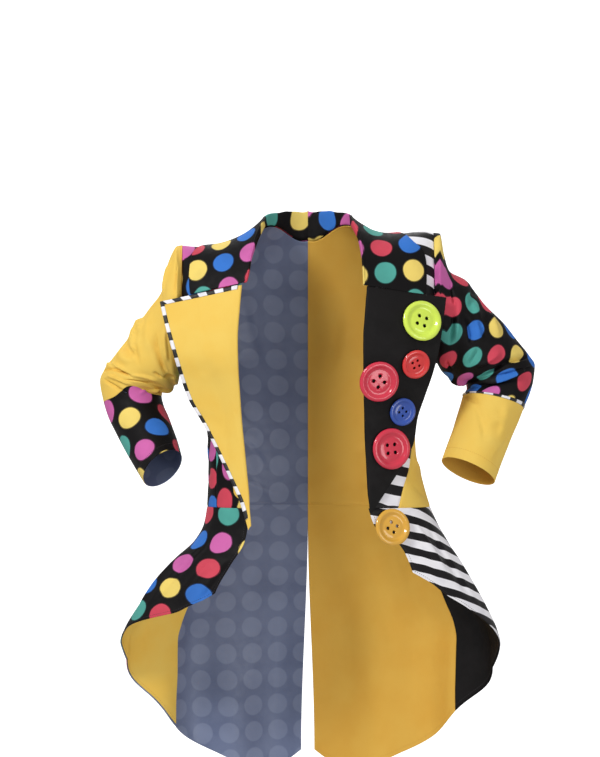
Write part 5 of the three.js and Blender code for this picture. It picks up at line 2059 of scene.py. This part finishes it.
class TAILCOAT_OT_buttons(bpy.types.Operator):
    """Makes the show buttons"""

    bl_idname = "tailcoat.buttons"
    bl_label = "Show buttons"

    def execute(self, context):
        for button in BUTTONS:
            make_button(button)
        return {"FINISHED"}


class TAILCOAT_OT_stitches(bpy.types.Operator):
    """Sews the hems and topstitched seams"""

    bl_idname = "tailcoat.stitches"
    bl_label = "Stitches"

    def execute(self, context):
        threads = {}
        for number, seam in enumerate(SEAMS, 1):
            threads.setdefault(seam.cloth, []).append(sew_stitches(seam, number))
        declare_cuts(threads)
        return {"FINISHED"}


# ------------------------------------------------------------------------------------------------------------ the stage

CAMERA_DISTANCE = 6.0
VIEW_MIDDLE = (-0.0144, -0.2403)  # x and z of the middle of the view
VIEW_HEIGHT = 1.3626
SENSOR_HEIGHT = 24.0
FLOOR_RADIUS = 8.0  # the flat floor, the radius of the curve that rises from it, and its top
FLOOR_CURVE = 3.0
FLOOR_TOP = 14.0
AIR_STRENGTH = 0.52
LIT_PLACE = (0, 0, -0.35)  # where the lights look
# Each light with its place, its size and its power.
LIGHTS = (
    ("key_light", (-2.7, -3.2, 2.2), 1.2, 124.0),
    ("fill_light", (2.4, -4.0, -0.9), 2.4, 46.0),
    ("back_light", (0.0, 2.4, 2.6), 2.5, 40.0),
)


class TAILCOAT_OT_stage(bpy.types.Operator):
    """Makes the floor with its curved backdrop, the soft studio lights and the camera"""

    bl_idname = "tailcoat.stage"
    bl_label = "Stage"

    def execute(self, context):
        self.make_floor(context)
        self.make_lights(context)
        self.make_camera(context)
        return {"FINISHED"}

    def make_floor(self, context):
        """A round floor whose rim rises all round, so that every side is seen against the same paper."""
        floor, rim = -context.scene.tailcoat_sizes.floor, FLOOR_RADIUS + FLOOR_CURVE
        profile = [(0.0, floor), (FLOOR_RADIUS / 2, floor), (FLOOR_RADIUS, floor)]
        for i in range(1, 13):
            angle = i / 12 * math.pi / 2
            profile.append((FLOOR_RADIUS + FLOOR_CURVE * math.sin(angle), floor + FLOOR_CURVE * (1 - math.cos(angle))))
        profile += [(rim, FLOOR_TOP), (0.0, FLOOR_TOP)]
        points, faces = lathe(profile, 64)
        piece = mesh_object("studio_floor", [(x, z, y) for x, y, z in points], faces, studio_finish())
        piece.visible_diffuse = piece.visible_glossy = piece.visible_shadow = False

    def make_lights(self, context):
        world = bpy.data.worlds.new("studio_air")
        context.scene.world = world
        world.use_nodes = True
        background = world.node_tree.nodes["Background"]
        background.inputs["Color"].default_value = (1.0, 1.0, 1.0, 1.0)
        background.inputs["Strength"].default_value = AIR_STRENGTH
        for name, place, size, power in LIGHTS:
            light = bpy.data.lights.new(name, "AREA")
            light.shape, light.size, light.energy = "DISK", size, power
            lamp = bpy.data.objects.new(name, light)
            lamp.location = place
            lamp.rotation_euler = (Vector(LIT_PLACE) - Vector(place)).to_track_quat("-Z", "Y").to_euler()
            context.collection.objects.link(lamp)

    def make_camera(self, context):
        data = bpy.data.cameras.new("studio_camera")
        data.sensor_fit = "VERTICAL"
        data.sensor_height = SENSOR_HEIGHT
        data.lens = SENSOR_HEIGHT * CAMERA_DISTANCE / VIEW_HEIGHT
        data.clip_end = 60.0
        camera = bpy.data.objects.new("studio_camera", data)
        camera.location = (VIEW_MIDDLE[0], -CAMERA_DISTANCE, VIEW_MIDDLE[1])
        camera.rotation_euler = (math.pi / 2, 0, 0)
        context.collection.objects.link(camera)
        context.scene.camera = camera


# ------------------------------------------------------------------------------------------------------ panel and start


class TAILCOAT_PT_panel(bpy.types.Panel):
    """Lists the coat's pieces, sizes and colours"""

    bl_idname = "TAILCOAT_PT_panel"
    bl_label = "Tailcoat"
    bl_space_type = "VIEW_3D"
    bl_region_type = "UI"
    bl_category = "Tailcoat"

    def draw(self, context):
        for operator in OPERATORS:
            self.layout.operator(operator.bl_idname)
        for settings in (context.scene.tailcoat_sizes, context.scene.tailcoat_colours):
            box = self.layout.box()
            for name in settings.__annotations__:
                box.prop(settings, name)


GROUPS = (TailcoatColours, TailcoatSizes)
OPERATORS = (
    TAILCOAT_OT_body,
    TAILCOAT_OT_skirts,
    TAILCOAT_OT_lapels,
    TAILCOAT_OT_collar,
    TAILCOAT_OT_sleeves,
    TAILCOAT_OT_edging,
    TAILCOAT_OT_buttons,
    TAILCOAT_OT_stitches,
    TAILCOAT_OT_stage,
)


def register():
    for kind in (*GROUPS, *OPERATORS, TAILCOAT_PT_panel):
        bpy.utils.register_class(kind)
    bpy.types.Scene.tailcoat_colours = bpy.props.PointerProperty(type=TailcoatColours)
    bpy.types.Scene.tailcoat_sizes = bpy.props.PointerProperty(type=TailcoatSizes)


def unregister():
    del bpy.types.Scene.tailcoat_sizes
    del bpy.types.Scene.tailcoat_colours
    for kind in (TAILCOAT_PT_panel, *reversed(OPERATORS), *reversed(GROUPS)):
        bpy.utils.unregister_class(kind)


def main():
    register()
    bpy.context.scene.view_settings.view_transform = "Standard"
    make_finishes()
    bpy.ops.tailcoat.body()
    bpy.ops.tailcoat.skirts()
    bpy.ops.tailcoat.lapels()
    bpy.ops.tailcoat.collar()
    bpy.ops.tailcoat.sleeves()
    bpy.ops.tailcoat.edging()
    bpy.ops.tailcoat.buttons()
    bpy.ops.tailcoat.stitches()
    bpy.ops.tailcoat.stage()


if __name__ == "__main__":
    main()
